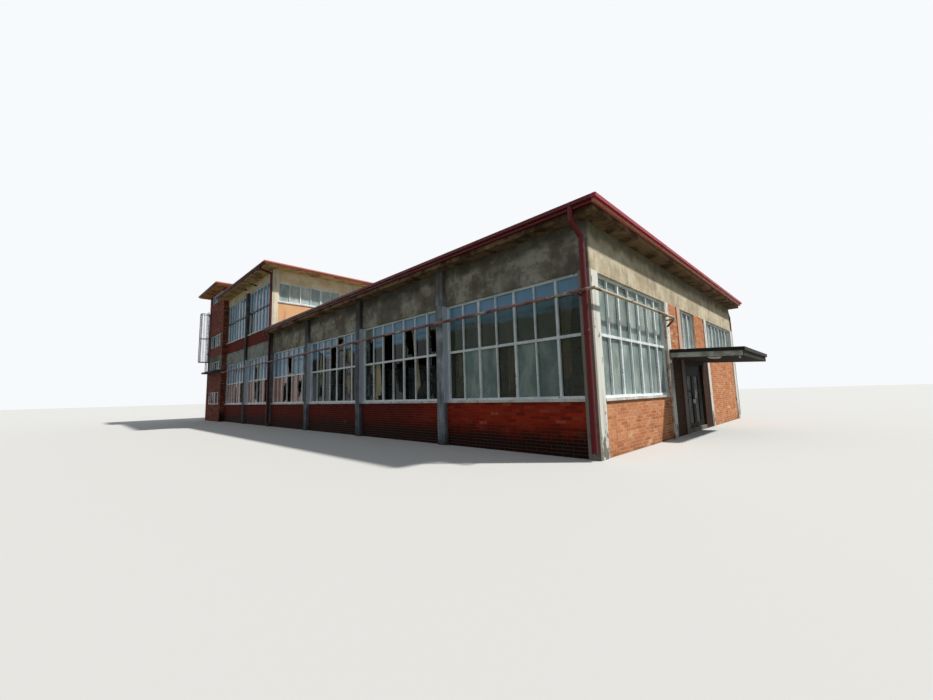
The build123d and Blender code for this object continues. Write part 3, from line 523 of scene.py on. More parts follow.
# Window panes.
# Sheets of 4 mm glass puttied behind the bars, one to each light: some clear and green with age,
# some thick with dust, many broken to shards or gone. They stand for the single sheets behind the bars.
# Reflections of the sky and pink reflections are painted on them, and the dark of the hall behind.
glass_finish, shader, place = begin("old_window_glass")
film = place.node("Attribute", {"attribute_name": "film"}, out=2)
milk = place.node("Attribute", {"attribute_name": "milk"}, out=2)
rosy = place.node("Attribute", {"attribute_name": "rosy"}, out=2)
smear = rise(grain(place, 0.28, 5, (1, 1, 2.5)), 0.38, 0.7)
x, y, z = coordinates(place)
front_side = rise(y, FRONT + 0.3, FRONT + 0.1)
high_up = (z > 6.6) & (x > HALL_LEFT - 0.2)
middle_bays = (x > HALL_LEFT + BAY) & (x < HALL_LEFT + 3 * BAY)
# The lower lights of the middle bays are near black: the painted dark of the hall behind.
dark_hall = middle_bays & rise(z, 3.15, 2.98)
cover = film | (milk | rosy)
# The top lights of the bay at the entrance corner take a painted blue reflection of the sky.
top_row_sky_reflection = rise(x, 11.0, 11.1) & (front_side & rise(z + grain(place, 0.6) * 0.3, 3.2, 3.4))
clean = tint(top_row_sky_reflection * 0.7, colour(62, 66, 44), colour(104, 150, 176))
clean = tint(dark_hall, clean, colour(12, 14, 18))
# Blue-white panes: a painted reflection of the sky.
clean = tint(milk * (1 - dark_hall), clean, colour(122, 168, 204))
# Pink panes: a painted pink reflection.
clean = tint(rosy, clean, colour(196, 124, 108))
dusty = tint(smear, colour(146, 170, 168), colour(198, 212, 206))
# Dusty panes are painted darker on the front as shade, and lighter in the strip windows high up as a
# painted sky reflection.
dusty = tint(front_side, dusty, tint(smear, colour(124, 152, 150), colour(176, 192, 186)))
dusty = tint(high_up, dusty, tint(smear, colour(168, 190, 192), colour(214, 220, 214)))
give(shader, {
    "Base Color": tint(film, clean, dusty),
    "Roughness": 0.06 + film * 0.3 + smear * 0.08,
    "Alpha": 0.4 + rise(cover, 0.0, 0.07) * 0.3 + cover * 0.22 + smear * 0.08,
    "IOR": 1.3,
})

FRAME_EDGE, PANE_DEPTH, PANE_LAP, SILL = 0.055, 0.111, 0.012, 0.06
MIDRAIL, TRANSOM = (1.29, 1.352), (2.22, 2.265)
LOWER = (PARAPET + SILL, HEAD, (MIDRAIL, TRANSOM))
UPPER = (UPPER_PARAPET + SILL, 7.99, (MIDRAIL,))
OVER_DOOR = (HIGH_PARAPET + SILL, HEAD, ())


def lights_of(left, right, base, head, rails):
    """Left, right, bottom and top of every light of a window, row by row from the top.

    A window has about 0.6 m to a light; its upright bars are 60 and 32 mm thick in turn. A pane
    laps 12 mm behind the bars round its light.
    """
    width = right - left
    count = round((width - FRAME_EDGE) / 0.6)
    number = np.arange(1, count)
    centres = left + FRAME_EDGE / 2 + (width - FRAME_EDGE) / count * number
    halves = np.where(number % 2 == 0, 0.03, 0.016)
    starts = np.concatenate([[left + FRAME_EDGE], centres + halves])
    ends = np.concatenate([centres - halves, [right - FRAME_EDGE]])
    bottoms = np.array([base + FRAME_EDGE] + [base + top for low, top in rails])
    tops = np.array([base + low for low, top in rails] + [head - FRAME_EDGE])
    lefts, lows = np.meshgrid(starts, bottoms[::-1])
    rights, highs = np.meshgrid(ends, tops[::-1])
    return lefts - PANE_LAP, rights + PANE_LAP, lows - PANE_LAP, highs + PANE_LAP


STEPS = 36
RING = np.arange(STEPS)
AHEAD = (RING + 1) % STEPS
RING_FACES = np.concatenate([
    np.stack([RING, AHEAD, AHEAD + STEPS, RING + STEPS], axis=1),
    np.stack([RING + 3 * STEPS, AHEAD + 3 * STEPS, AHEAD + 2 * STEPS, RING + 2 * STEPS], axis=1),
    np.stack([RING + STEPS, AHEAD + STEPS, AHEAD + 3 * STEPS, RING + 3 * STEPS], axis=1),
])


def pane(line, light, broken, chance):
    """A pane as rings about its middle: point (angle, s) lies s of the way from the hole to the border.

    The border's radius is that of the pane's rectangle, with the nearest points moved to its
    corners. The hole's radius is 1% of it in a whole pane, and in a broken one a random share that
    jumps from spike to spike. The glass is 4 mm thick.
    """
    left, right, low, high = light
    angle = (RING + 0.5) * 2 * np.pi / STEPS
    half_width, half_height = (right - left) / 2, (high - low) / 2
    corner = np.arctan2(half_height, half_width)
    near = np.abs(((angle + np.pi / 2) % np.pi) - np.pi / 2)
    snapped = np.where(np.abs(near - corner) < np.pi / STEPS, corner, near)
    angle = angle + (snapped - near) * np.sign(np.tan(angle))
    border = np.minimum(half_width / np.abs(np.cos(angle)), half_height / np.abs(np.sin(angle)))
    share = np.full(STEPS, 0.01)
    if broken:
        wide = np.interp(RING, np.linspace(0, STEPS, 6), chance.uniform(0.45, 1.25, 6))
        share = np.clip(wide - chance.uniform(0, 0.4, STEPS) * (RING % 2), 0.12, 0.985)
    radius = np.stack([border, border * share] * 2)
    depth = PANE_DEPTH + np.array([0, 0, 0.004, 0.004])[:, None] + np.zeros(STEPS)
    along = (left + right) / 2 + radius * np.cos(angle)
    up = (low + high) / 2 + radius * np.sin(angle)
    return on_wall(line, along, depth, up).reshape(-1, 3)


# How filmed with dust each kind of pane is, and how much painted sky reflection and painted pink reflection
# it has.
KINDS = {
    "c": (0.0, 0.0, 0.0), "g": (0.1, 0.0, 0.0), "h": (0.55, 0.1, 0.0), "e": (0.8, 0.0, 0.0),
    "d": (1.0, 0.0, 0.0), "s": (0.0, 1.0, 0.0), "p": (0.1, 0.1, 1.0),
}


def glaze(name, windows, seed):
    """Panes for the lights of several windows.

    A letter stands for each light, row by row from the top, or one for them all: x is an empty one, a
    capital a broken one, and the rest give how dusty it is and how much painted blue-white sky
    reflection and painted pink reflection it shows.
    """
    chance = np.random.default_rng(seed)
    points, looks = [], []
    for line, left, right, base, head, rails, letters in windows:
        lights = [grid.ravel() for grid in lights_of(left, right, base, head, rails)]
        if len(letters) == 1:
            letters = letters * len(lights[0])
        for letter, *light in zip(letters.replace("/", ""), *lights):
            if letter != "x":
                points.append(pane(line, light, letter.isupper(), chance))
                kind = KINDS[letter.lower()]
                looks.append(np.repeat([kind], 4 * STEPS, axis=0) * chance.uniform(0.75, 1))
    faces = (np.arange(len(points))[:, None, None] * 4 * STEPS + RING_FACES).reshape(-1, 4)
    film, milk, rosy = np.concatenate(looks).T
    panes = build(name, np.concatenate(points), faces, glass_finish, film=film, milk=milk, rosy=rosy)
    return panes


front_letters = [
    "sssssss/sssPsss/ppPxpPx",
    "ssssGss/sSsxgSs/xGgxxGg",
    "hssssss/GsxsGsG/GxxGxxG",
    "sssssss/ggggggc/ceecehc",
]
windows = [(HALL_FRONT, a, b, *LOWER, w) for (a, b), w in zip(FRONT_BAYS, front_letters)]
windows += [(HALL_REAR, a, b, *LOWER, "d") for a, b in REAR_BAYS]
windows.append((ENTRANCE, *NEAR_BAY, PARAPET + SILL, HEAD, (MIDRAIL,), "eeheeee/eeeeehe"))
windows += [(ENTRANCE, *bay, *OVER_DOOR, "e") for bay in (DOOR_BAY, FAR_BAY)]
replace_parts(glaze("hall_panes", windows, 21), "hall_glass")

block_windows = [
    (BLOCK_FRONT, BLOCK_BAYS, LOWER, ("ssshsss/xsshsss/xppPpxp", "sshssss/ssGhsss/ppPxpPp")),
    (BLOCK_FRONT, BLOCK_BAYS, UPPER, ("sssssss/sssssss", "sssssss/xssssss")),
    (BLOCK_REAR, BLOCK_REAR_BAYS, LOWER, ("d", "d")),
    (BLOCK_REAR, BLOCK_REAR_BAYS, UPPER, ("sdsdsds/dsdddsd", "sddsdsd/dsdddsd")),
    (BLOCK_END, END_BAYS, LOWER, ("d", "d")),
    (BLOCK_END, END_BAYS, UPPER, ("sdsdsd/dsddds", "sddsds/dsddds")),
    (BLOCK_SIDE, INNER_BAYS, (6.67, 7.75, ()), ("d", "d", "d")),
]
windows = [
    (line, left, right, *size, letters)
    for line, bays, size, looks in block_windows
    for (left, right), letters in zip(bays, looks)
]
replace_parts(glaze("block_panes", windows, 22), "block_glass")

tower_letters = ("pPpxp", "xgxgx", "sxshx", "ssSss")
windows = [(TOWER_FRONT, *TOWER_BAY, *size, (), w) for size, w in zip(TOWER_LIGHTS, tower_letters)]
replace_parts(glaze("tower_panes", windows, 23), "tower_glass")


# Curtains left in the hall.
# Lengths of cheap unlined cotton, once cream, that still hang in narrow folds inside the front
# windows from a wire at the transom. Most are torn short and bleached by the sun.
cloth_finish, shader, place = begin("faded_curtain_cotton")
age = rise(grain(place, 0.3, 4, (1, 1, 3)), 0.4, 0.7)
give(shader, {
    "Base Color": tint(age, colour(206, 196, 166), colour(150, 134, 104)),
    "Roughness": 0.95,
    "Normal": bump(grain(place, 0.004, 2, (1, 1, 3)), 0.0006),
})


def grid_faces(rows, columns):
    """Four-sided faces between the neighbouring points of a grid, down the rows first."""
    first = (np.arange(rows - 1)[:, None] * columns + np.arange(columns - 1)).ravel()
    return np.stack([first, first + columns, first + columns + 1, first + 1], axis=1)


def curtain(name, left, width, top, drop, folds, lean, seed):
    """A hanging sheet: point (s, t) is s across and t down, pushed in and out by folds that open below.

    It hangs 200 mm behind the wall's face. Its lower edge is torn to a slope, and the cloth draws in
    by a quarter at the middle of its drop.
    """
    chance = np.random.default_rng(seed)
    s, t = np.meshgrid(np.linspace(0, 1, 64), np.linspace(0, 1, 26))
    fold = 0.022 * (0.6 + 0.6 * t) * np.sin(2 * np.pi * folds * s + 0.7 * np.sin(3 * t) + seed)
    waist = 1 - 0.24 * np.sin(np.pi * t) ** 2
    along = left + width * (0.5 + (s - 0.5) * waist) + lean * t
    ragged = 1 - 0.12 * s + 0.03 * np.interp(s, np.linspace(0, 1, 9), chance.uniform(-1, 1, 9))
    points = on_wall(HALL_FRONT, along, 0.2 + fold, top - drop * t * ragged)
    faces = grid_faces(*s.shape)
    piece = build(name, points, faces, cloth_finish, smooth=True)


curtain("curtain_1", 13.78, 0.34, 3.4, 2.05, 5, 0.16, 1)
curtain("curtain_2", 15.62, 0.26, 3.4, 2.1, 4, 0.0, 2)
curtain("curtain_3", 17.12, 0.36, 3.4, 1.95, 5, -0.1, 3)
curtain("curtain_4", 9.62, 0.4, 3.36, 2.1, 6, 0.1, 4)
curtain("curtain_5", 11.86, 0.22, 3.4, 2.0, 4, 0.14, 5)
curtain("curtain_6", 5.1, 0.3, 3.36, 1.6, 4, 0.05, 6)
curtain("curtain_7", 7.6, 0.36, 3.36, 2.1, 6, -0.12, 7)


# Flat roofs and their soffits.
# Concrete slabs cast on boards, brown and streaked underneath where damp has come through, and
# covered on top with overlapping strips of grey felt.
slab_finish, shader, place = begin("stained_board_concrete")
y, z = coordinates(place)[1:]
blots = rise(grain(place, 0.6, 6), 0.44, 0.62)
lime_run = rise(grain(place, 0.16, 5), 0.64, 0.74)
under = tint(blots, colour(138, 112, 86), colour(70, 50, 34))
under = tint(rise(z, 8.0, 8.2) * 0.85, under, tint(blots, colour(222, 186, 134), colour(166, 128, 86)))
# The tower's soffit takes orange patches: painted spots of light.
under = tint(rise(z, 9.0, 9.1) * 0.7, under, tint(blots, colour(226, 134, 88), colour(150, 84, 54)))
under = tint(lime_run * 0.6, under, colour(186, 172, 152))
give(shader, {
    "Base Color": under,
    "Roughness": 0.92,
    "Specular IOR Level": DUSTY_GLOSS,
    "Normal": bump(rise(board_marks(y, 8.3), 0.0, 0.04) + grain(place, 0.02, 4) * 0.5, 0.004),
})
dress(slab_finish, "hall_roof_slab", "block_roof_slab", "tower_roof_slab")

felt_finish, shader, place = begin("roofing_felt")
pond = rise(grain(place, 1.8, 5), 0.42, 0.62)
patch = rise(grain(place, 0.7, 4), 0.62, 0.66)
weathered = tint(pond, colour(102, 101, 99), colour(120, 117, 111))
give(shader, {
    "Base Color": tint(patch, weathered, colour(82, 81, 81)),
    "Roughness": 0.9,
    "Normal": bump(grain(place, 0.006, 2), 0.002),
})


def felt(name, x0, x1, y0, y1, top):
    """Felt laid across a roof in strips 1 m wide.

    Point (i, j) is on a grid over the roof; its height rises 8 mm over each strip and falls back at
    the next one's edge, with low ripples of 2 mm.
    """
    strips = int(np.ceil(x1 - x0))
    edges = np.linspace(x0, x1, strips + 1)
    across = np.stack([edges[:-1], edges[1:]], axis=1).ravel()
    x, y = np.meshgrid(across, np.linspace(y0, y1, int((y1 - y0) / 0.4)))
    lift = np.tile([0.003, 0.011], strips)
    height = top + lift + 0.002 * np.sin(y * 5.1 + np.floor(x) * 1.7) * np.sin(x * 3.3)
    upwards = grid_faces(*x.shape)[:, [0, 3, 2, 1]]
    build(name, np.stack([x, y, height], axis=-1), upwards, felt_finish)


felt("hall_felt", -2.49, 15.82, -6.92, 6.92, 5.08)
felt("block_felt", -11.49, -1.82, -7.28, 7.28, 8.53)
felt("block_felt_behind_tower", -12.18, -11.49, -0.89, 7.28, 8.53)
felt("tower_felt", -16.06, -10.94, -7.46, -0.34, 9.48)


# Roof edges: fascia board and box gutter.
# Folded steel sheet in dark red gloss, hung from the slabs' edges and held by flat straps across the
# top. Its colour is painted in two copies: deep red as shade on the front, and salmon as sunlight on
# the sunny side.
red_finish, shader, place = begin("dark_red_gloss")
x, _, z = coordinates(place)
block_right = rise(x, -1.85, -1.83) & (z > 8.0)
tower_right = rise(x, -10.96, -10.94) & (z > 9.0)
sunny_side = rise(x, 15.84, 15.86) | (block_right | tower_right)
board = (z < 5.05) | (((z > 6.0) & (z < 8.495)) | ((z > 8.7) & (z < 9.445)))
blotch = rise(grain(place, 0.3, 5, (1, 1, 2)), 0.42, 0.68)
# On the sunny side board and gutter are salmon: painted sunlight.
gutter = tint(z > 6.0, colour(164, 50, 64), colour(208, 138, 126))
sunlit_salmon = tint(board, gutter, colour(222, 134, 110))
shaded = tint(rise(x, 12.0, 4.0), colour(92, 11, 19), colour(70, 18, 19))
red = tint(sunny_side & (z > 4.0), shaded, sunlit_salmon)
red = tint(blotch * 0.18, red, colour(116, 50, 44))
scratch = rise(grain(place, 0.04, 5), 0.66, 0.7)
give(shader, {
    "Base Color": tint(scratch, red, colour(92, 44, 36)),
    "Roughness": 0.42 + blotch * 0.2,
    "Specular IOR Level": 0.25,
    "Normal": bump(1 - scratch, 0.001),
})
dress(red_finish, "hall_roof_edge", "block_roof_edge", "tower_roof_edge", "downpipes")

BAR_CORNERS = np.array([[i, j, k] for i in (0, 1) for j in (0, 1) for k in (0, 1)])
BAR_FACES = np.array([[0, 1, 3, 2], [4, 6, 7, 5], [0, 4, 5, 1], [2, 3, 7, 6], [0, 2, 6, 4], [1, 5, 7, 3]])
HALL_RIM, BLOCK_RIM, TOWER_RIM = 5.128, 8.548, 9.496


def straps(rim, axis, start, end, outer, inner):
    """Lowest and highest corners of straps 25 mm wide and 4 mm thick across a gutter, about 0.9 m apart."""
    at = np.linspace(start, end, max(2, int(abs(end - start) / 0.9)) + 1)
    along = np.stack([at - 0.0125, at + 0.0125], axis=1)
    across = np.broadcast_to(sorted((outer, inner)), along.shape)
    up = np.broadcast_to((rim, rim + 0.004), along.shape)
    flat = (along, across) if axis == "x" else (across, along)
    return np.stack([*flat, up], axis=2)


corners = np.concatenate([
    straps(HALL_RIM, "x", -2.7, 15.9, -7.06, -6.94),
    straps(HALL_RIM, "x", -2.7, 15.9, 7.06, 6.94),
    straps(HALL_RIM, "y", -6.76, 6.76, 15.96, 15.84),
    straps(BLOCK_RIM, "x", -11.4, -1.72, -7.42, -7.3),
    straps(BLOCK_RIM, "x", -12.2, -1.72, 7.42, 7.3),
    straps(BLOCK_RIM, "y", -7.12, 7.12, -1.68, -1.8),
    straps(TOWER_RIM, "x", -16.1, -10.9, -7.6, -7.48),
    straps(TOWER_RIM, "x", -16.1, -10.9, -0.2, -0.32),
    straps(TOWER_RIM, "y", -7.3, -0.5, -10.8, -10.92),
    straps(TOWER_RIM, "y", -7.3, -0.5, -16.2, -16.08),
])
points = corners[:, :1] + (corners[:, 1:] - corners[:, :1]) * BAR_CORNERS
faces = (np.arange(len(corners))[:, None, None] * 8 + BAR_FACES).reshape(-1, 4)
build("gutter_straps", points, faces, red_finish)


# Clips and sockets of the rainwater pipes.
# Each length of pipe ends in a wider socket, and steel bands with a stem let into the wall hold it
# about two metres apart. They wear the same red paint.
def gather(name, shells, material, body="building"):
    """One piece from several closed shells of points and triangles."""
    points, faces, count = [], [], 0
    for shell, triangles in shells:
        points.append(shell)
        faces.append(triangles + count)
        count += len(shell)
    build(name, np.concatenate(points), np.concatenate(faces), material, body)


def closed_rings(rings, first, last):
    """Triangles between rows of points that go round, with a point at each end to close them."""
    rows, sides = rings.shape[:2]
    here = 1 + np.arange(sides)
    after = 1 + (np.arange(sides) + 1) % sides
    middle = []
    for row in range(rows - 1):
        a, b = here + row * sides, after + row * sides
        middle += [np.stack([a, b, b + sides], axis=1), np.stack([a, b + sides, a + sides], axis=1)]
    end, last_row = 1 + rows * sides, (rows - 1) * sides
    caps = [np.stack([np.zeros_like(here), after, here], axis=1)]
    caps.append(np.stack([np.full_like(here, end), here + last_row, after + last_row], axis=1))
    points = np.concatenate([[first], rings.reshape(-1, 3), [last]])
    return points, np.concatenate(middle + caps)


def turned(start, end, profile, sides=14):
    """A profile turned about the line from start to end.

    Point (i, k) is t_i of the way along it and r_i out from it, at the angle 2 pi k / sides.
    """
    start, end = np.asarray(start, float), np.asarray(end, float)
    axis = (end - start) / np.linalg.norm(end - start)
    across = np.cross(axis, [0, 0, 1] if abs(axis[2]) < 0.9 else [1, 0, 0])
    across /= np.linalg.norm(across)
    angle = np.arange(sides) * 2 * np.pi / sides
    upright = np.cross(axis, across)
    circle = np.multiply.outer(np.cos(angle), across) + np.multiply.outer(np.sin(angle), upright)
    t, r = np.array(profile, float).T
    rings = start + np.multiply.outer(t, end - start)[:, None, :] + r[:, None, None] * circle
    return closed_rings(rings, start + t[0] * (end - start), start + t[-1] * (end - start))


PIPE_LINE = 6.78
SOCKET = ((0, 0.061), (0.1, 0.067), (0.9, 0.067), (1, 0.061))
CLIP = ((0, 0.064), (1, 0.064))
STEM = ((0, 0.009), (1, 0.009))
rainwater_pipes = (
    (15.465, 6.66, (2.45,), (0.7, 2.3, 4.15)),
    (-2.56, 6.72, (2.4, 5.0), (0.8, 2.6, 5.6, 7.6)),
)
shells = []
for side in (-1, 1):
    for x, wall, sockets, clips in rainwater_pipes:
        y = side * PIPE_LINE
        shells += [turned((x, y, z), (x, y, z + 0.09), SOCKET) for z in sockets]
        shells += [turned((x, y, z), (x, y, z + 0.035), CLIP) for z in clips]
        shells += [turned((x, y, z + 0.017), (x, side * wall, z + 0.017), STEM, 8) for z in clips]
gather("pipe_clips", shells, red_finish)


# Cable arms on the block.
# Two short steel arms under the block's front eave, each with a wall plate and a grooved knob at its
# end, which once held an overhead cable. Plate, arm and knob have all gone dark with rust.
arm_finish, shader, place = begin("dark_rust")
scale = rise(grain(place, 0.04, 5), 0.4, 0.7)
give(shader, {
    "Base Color": tint(scale, colour(44, 36, 30), colour(84, 54, 40)),
    "Roughness": 0.85,
    "Normal": bump(scale, 0.001),
})
WALL_PLATE = ((0, 0.05), (1, 0.05))
ARM = ((0, 0.055), (0.2, 0.05), (0.6, 0.024), (1, 0.018))
KNOB = ((0, 0.012), (0.2, 0.03), (0.5, 0.02), (0.7, 0.03), (1, 0.014))
shells = []
for x, y, reach in ((-5.58, FRONT, 0.42), (-6.99, FRONT - 0.12, 0.3)):
    root = np.array([x, y, 8.2])
    knob = root - (0, reach - 0.02, -0.02)
    shells.append(turned(root + (0, 0.005, 0), root - (0, 0.012, 0), WALL_PLATE))
    shells.append(turned(root, root - (0, reach, -0.02), ARM, 10))
    shells.append(turned(knob, knob + (0, 0, 0.08), KNOB))
gather("cable_arms", shells, arm_finish)


# Canopy over the entrance.
# A cast concrete slab built into the wall, with bare grey faces stained by leaks, a soffit painted near
# black as shade, an outer end made near black, and a skirt of dark rusty sheet folded over its top and
# edge.
CANOPY_ROOT, SOFFIT_ROOT, SOFFIT_FALL = 15.53, 2.215, 0.095 / 1.7


def soffit_height(x):
    """The canopy's underside, which falls 95 mm over its 1.7 m."""
    return SOFFIT_ROOT - SOFFIT_FALL * (x - CANOPY_ROOT)


canopy_finish, shader, place = begin("canopy_concrete")
x, _, z = coordinates(place)
blot = rise(grain(place, 0.35, 6), 0.42, 0.66)
leak = rise(grain(place, 0.12, 5), 0.6, 0.72)
bare = tint(blot, colour(196, 200, 192), colour(150, 150, 140))
# The soffit is made near black: painted shade under the slab.
below = rise(z - soffit_height(x), 0.01, 0.004)
bare = tint(below, bare, colour(36, 30, 24))
# The outer end is made near black.
bare = tint(rise(x, 17.21, 17.22) * 0.95, bare, colour(30, 22, 17))
give(shader, {
    "Base Color": tint(leak * 0.6 * (1 - below), bare, colour(66, 52, 42)),
    "Roughness": 0.92,
    "Specular IOR Level": DUSTY_GLOSS,
    "Normal": bump(grain(place, 0.03, 5) - leak * 0.5, 0.006),
})
dress(canopy_finish, "canopy_slab")

sheet_finish, shader, place = begin("rusty_roof_sheet")
rust = rise(grain(place, 0.18, 6), 0.5, 0.66)
give(shader, {
    "Base Color": tint(rust, colour(34, 34, 33), colour(66, 44, 34)),
    "Roughness": 0.6 + rust * 0.3,
    "Specular IOR Level": 0.12,
    "Normal": bump(rust, 0.001),
})
dress(sheet_finish, "canopy_sheet")


# Fittings under the canopy.
# A bulkhead lamp, a junction box on the column and a drip nozzle at the slab's outer corner, pressed
# from white enamelled steel and screwed up against the concrete.
def cushion_shell(centre, across, along, out, sides=24, rows=7):
    """Half of a rounded block.

    Point (u, v) is centre + across |cos u|^.5 sin v + along |sin u|^.5 sin v + out (cos v)^.6, where the
    powers keep the sign of cos u and sin u.
    """
    u = np.arange(sides) * 2 * np.pi / sides
    v = np.linspace(0, np.pi / 2, rows)[1:]
    round_x, round_y = (np.sign(w) * np.abs(w) ** 0.5 for w in (np.cos(u), np.sin(u)))
    flat = np.multiply.outer(round_x, across) + np.multiply.outer(round_y, along)
    rings = centre + np.sin(v)[:, None, None] * flat + (np.cos(v) ** 0.6)[:, None, None] * np.asarray(out)
    return closed_rings(rings, np.add(centre, out), np.asarray(centre, float))


enamel_finish, shader, place = begin("white_enamel")
dirt = rise(grain(place, 0.05, 5), 0.45, 0.7)
give(shader, {
    "Base Color": tint(dirt * 0.5, colour(244, 236, 228), colour(168, 150, 132)),
    "Roughness": 0.35,
    "Normal": bump(dirt, 0.0004),
})

NOZZLE = ((0, 0.03), (0.2, 0.03), (0.3, 0.018), (1, 0.016))
lamp_spot = (16.57, -1.95, soffit_height(16.57))
box_spot = (CANOPY_ROOT, -2.107, 2.107)
nozzle_spot = np.array([17.13, -1.99, soffit_height(17.13) + 0.002])
gather("canopy_fittings", [
    cushion_shell(lamp_spot, (-0.155, 0, 0.0087), (0, 0.05, 0), (0, 0, -0.055)),
    cushion_shell(box_spot, (0, 0.032, 0), (0, 0, 0.045), (0.04, 0, 0)),
    turned(nozzle_spot, nozzle_spot - (0, 0, 0.06), NOZZLE),
], enamel_finish)


# Entrance door: frame, two leaves, panes and handles.
# Timber leaves with wide lower rails, painted a dark grey green that has cracked and chipped to
# brown wood. Each has dusty dark panes, and a steel pull handle and a lock plate screwed on. Paint
# and panes are darker still as the canopy's painted shade.
door_finish, shader, place = begin("cracked_door_paint")
z = coordinates(place)[2]
chips = rise(grain(place, 0.07, 6, (1, 1, 2)) + rise(z, 0.7, 0.1) * 0.07, 0.62, 0.66)
fade = rise(grain(place, 0.4, 4), 0.4, 0.7)
# The grey green is made near black: painted shade of the canopy.
paint = tint(fade, colour(15, 18, 17), colour(28, 32, 30))
give(shader, {
    "Base Color": tint(chips * 0.6, paint, colour(74, 66, 54)),
    "Roughness": 0.6,
    "Specular IOR Level": 0.04,
    "Normal": bump((1 - chips) + grain(place, 0.01, 3, (1, 1, 8)) * 0.4, 0.0015),
})
dress(door_finish, "door_frame", "near_leaf", "far_leaf")

pane_finish, shader, place = begin("dusty_door_glass")
film = rise(grain(place, 0.2, 5, (1, 1, 1.6)), 0.36, 0.66)
give(shader, {
    # Dark panes: painted shade of the canopy, with a film of dust.
    "Base Color": tint(film, colour(22, 27, 26), colour(44, 51, 48)),
    "Roughness": 0.25 + film * 0.3,
    "Alpha": 0.82 + film * 0.16,
    "Specular IOR Level": 0.06,
})
dress(pane_finish, "near_leaf_glass", "far_leaf_glass")

steel_finish, shader, place = begin("worn_steel")
wear = rise(grain(place, 0.03, 5), 0.45, 0.65)
give(shader, {
    "Base Color": tint(wear, colour(170, 168, 162), colour(112, 98, 84)),
    "Roughness": 0.3 + wear * 0.35,
    "Metallic": 1 - wear * 0.5,
})
dress(steel_finish, "near_leaf_handle", "far_leaf_handle")

LOCK_BARREL = ((0, 0.026), (0.3, 0.026), (0.4, 0.012), (1, 0.011))
for leaf in ("near_leaf", "far_leaf"):
    low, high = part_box(leaf + "_handle")
    face, middle, height = low[0], (low[1] + high[1]) / 2, low[2] - 0.09
    barrel = turned((face - 0.002, middle, height), (face + 0.01, middle, height), LOCK_BARREL)
    plate = cushion_shell((face - 0.001, middle, height), (0, 0.024, 0), (0, 0, 0.07), (0.005, 0, 0))
    gather(leaf + "_lock", [barrel, plate], steel_finish, leaf)


# Heating pipe and its brackets.
# A long steel pipe along the front, round the corner and down into the ground, carried on welded
# angle brackets let into the columns. Its pink primer has gone to rust, and to cream in places. Round
# the corner, on the sunny side, it is painted paler as sunlight.
pipe_finish, shader, place = begin("rusted_pink_primer")
x = coordinates(place)[0]
# Round the corner on the sunny side the pipe is painted paler, as sunlight.
round_corner = rise(x, HALL_RIGHT, HALL_RIGHT + 0.15)
rust = rise(grain(place, 0.45, 6, (1, 1, 0.5)) - round_corner * 0.08, 0.4, 0.56)
pale = rise(grain(place, 0.7, 5, (1, 1, 0.5)) + round_corner * 0.1, 0.58, 0.66)
primer = tint(round_corner, colour(158, 116, 110), colour(190, 172, 150))
coat = tint(rust, primer, colour(104, 52, 44))
give(shader, {
    "Base Color": tint(pale * 0.85, coat, colour(206, 196, 182)),
    "Roughness": 0.75,
    "Normal": bump(rust + grain(place, 0.01, 3) * 0.4, 0.001),
})
dress(pipe_finish, "heating_pipe", "pipe_brackets")


# Cage and ladder on the tower.
# A fixed steel ladder inside a box of flat bars, bolted to the tower's front left corner above the
# concrete ledge, its paint chipped to rust and coloured dark blue-grey as painted shade.
bar_finish, shader, place = begin("chipped_paint_dark_as_shade")
chips = rise(grain(place, 0.09, 5), 0.58, 0.64)
give(shader, {
    "Base Color": tint(chips, colour(58, 66, 78), colour(84, 58, 46)),
    "Roughness": 0.55,
    "Normal": bump(1 - chips, 0.001),
})
dress(bar_finish, "cage_front", "cage_ladder", "cage_panels")


# Floor, sky, sun and camera.
# A plain pale ground under a pale sky, one soft sun from the entrance side and the photograph's view.
def looked_at(tree):
    """1 for the camera's own rays and for those by way of gloss or glass."""
    path = tree.nodes.new("ShaderNodeLightPath")
    rays = [Signal(path.outputs["Is " + kind + " Ray"]) for kind in ("Camera", "Glossy", "Transmission")]
    return rays[0] | (rays[1] | rays[2])


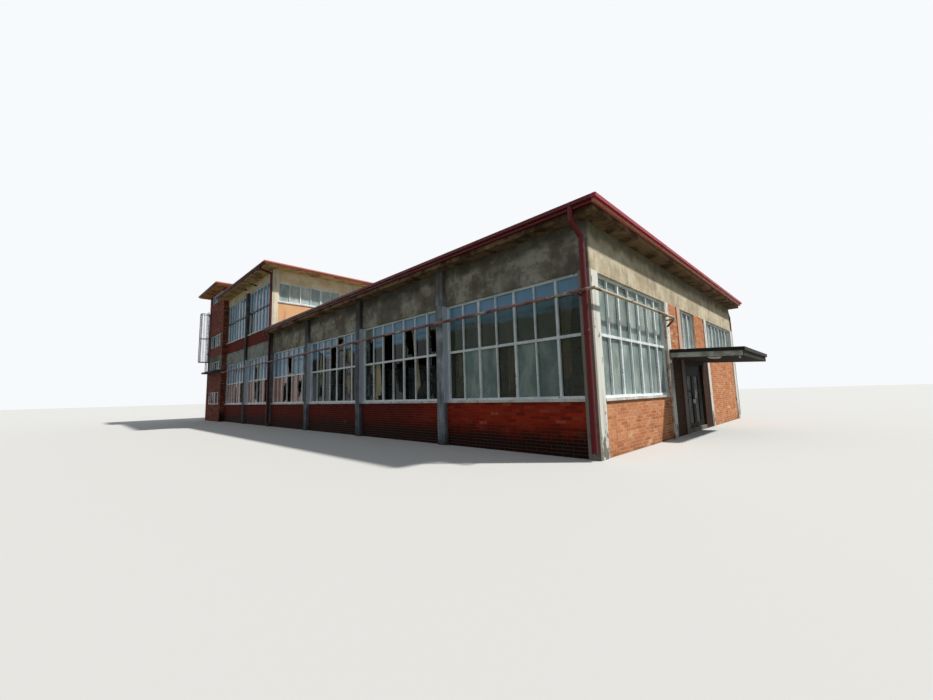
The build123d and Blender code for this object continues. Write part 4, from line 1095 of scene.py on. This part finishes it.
ground_finish, shader = begin("pale_ground")[:2]
give(shader, {
    "Base Color": tint(looked_at(ground_finish.node_tree), (0.1, 0.11, 0.08, 1.0), (0.56, 0.56, 0.55, 1.0)),
    "Roughness": 1.0,
})
edge = 400.0
ground_points = [(-edge, -edge, 0), (edge, -edge, 0), (edge, edge, 0), (-edge, edge, 0)]
ground_mesh = bpy.data.meshes.new("ground")
ground_mesh.from_pydata(ground_points, [], [(0, 1, 2, 3)])
ground_mesh.materials.append(ground_finish)
ground = bpy.data.objects.new("ground", ground_mesh)
bpy.context.scene.collection.objects.link(ground)

sky = bpy.data.worlds.new("sky")
bpy.context.scene.world = sky
sky.use_nodes = True
sky_tree = sky.node_tree
fill = sky_tree.nodes["Background"]
fill.inputs["Color"].default_value = (0.86, 0.93, 1.0, 1.0)
fill.inputs["Strength"].default_value = 0.35
backdrop = sky_tree.nodes.new("ShaderNodeBackground")
backdrop.inputs["Color"].default_value = (0.93, 0.95, 0.97, 1.0)
backdrop.inputs["Strength"].default_value = 1.0
mix = sky_tree.nodes.new("ShaderNodeMixShader")
sky_tree.links.new(looked_at(sky_tree).socket, mix.inputs[0])
sky_tree.links.new(fill.outputs[0], mix.inputs[1])
sky_tree.links.new(backdrop.outputs[0], mix.inputs[2])
sky_tree.links.new(mix.outputs[0], sky_tree.nodes["World Output"].inputs["Surface"])

lamp = bpy.data.lights.new("sun", "SUN")
lamp.energy = 4.4
lamp.angle = np.radians(2.5)
lamp.color = (1.0, 0.97, 0.92)
sun = bpy.data.objects.new("sun", lamp)
sun.rotation_euler = Vector((0.61, 0.48, 1.0)).to_track_quat("Z", "Y").to_euler()
bpy.context.scene.collection.objects.link(sun)

FOCAL_PIXELS, PHOTO_WIDTH = 384.5, 933
view = bpy.data.cameras.new("camera")
view.sensor_width = 36.0
view.lens = view.sensor_width * FOCAL_PIXELS / PHOTO_WIDTH
view.clip_end = 1000
camera = bpy.data.objects.new("camera", view)
right = Vector((0.7095, 0.7042, -0.0279))
up = Vector((0.1018, -0.0632, 0.9928))
back = Vector((0.6973, -0.7072, -0.1166))
turn = Matrix((right, up, back)).transposed().to_4x4()
camera.matrix_world = Matrix.Translation((19.033, -13.803, 1.327)) @ turn
bpy.context.scene.collection.objects.link(camera)
bpy.context.scene.camera = camera
bpy.context.scene.view_settings.view_transform = "Standard"
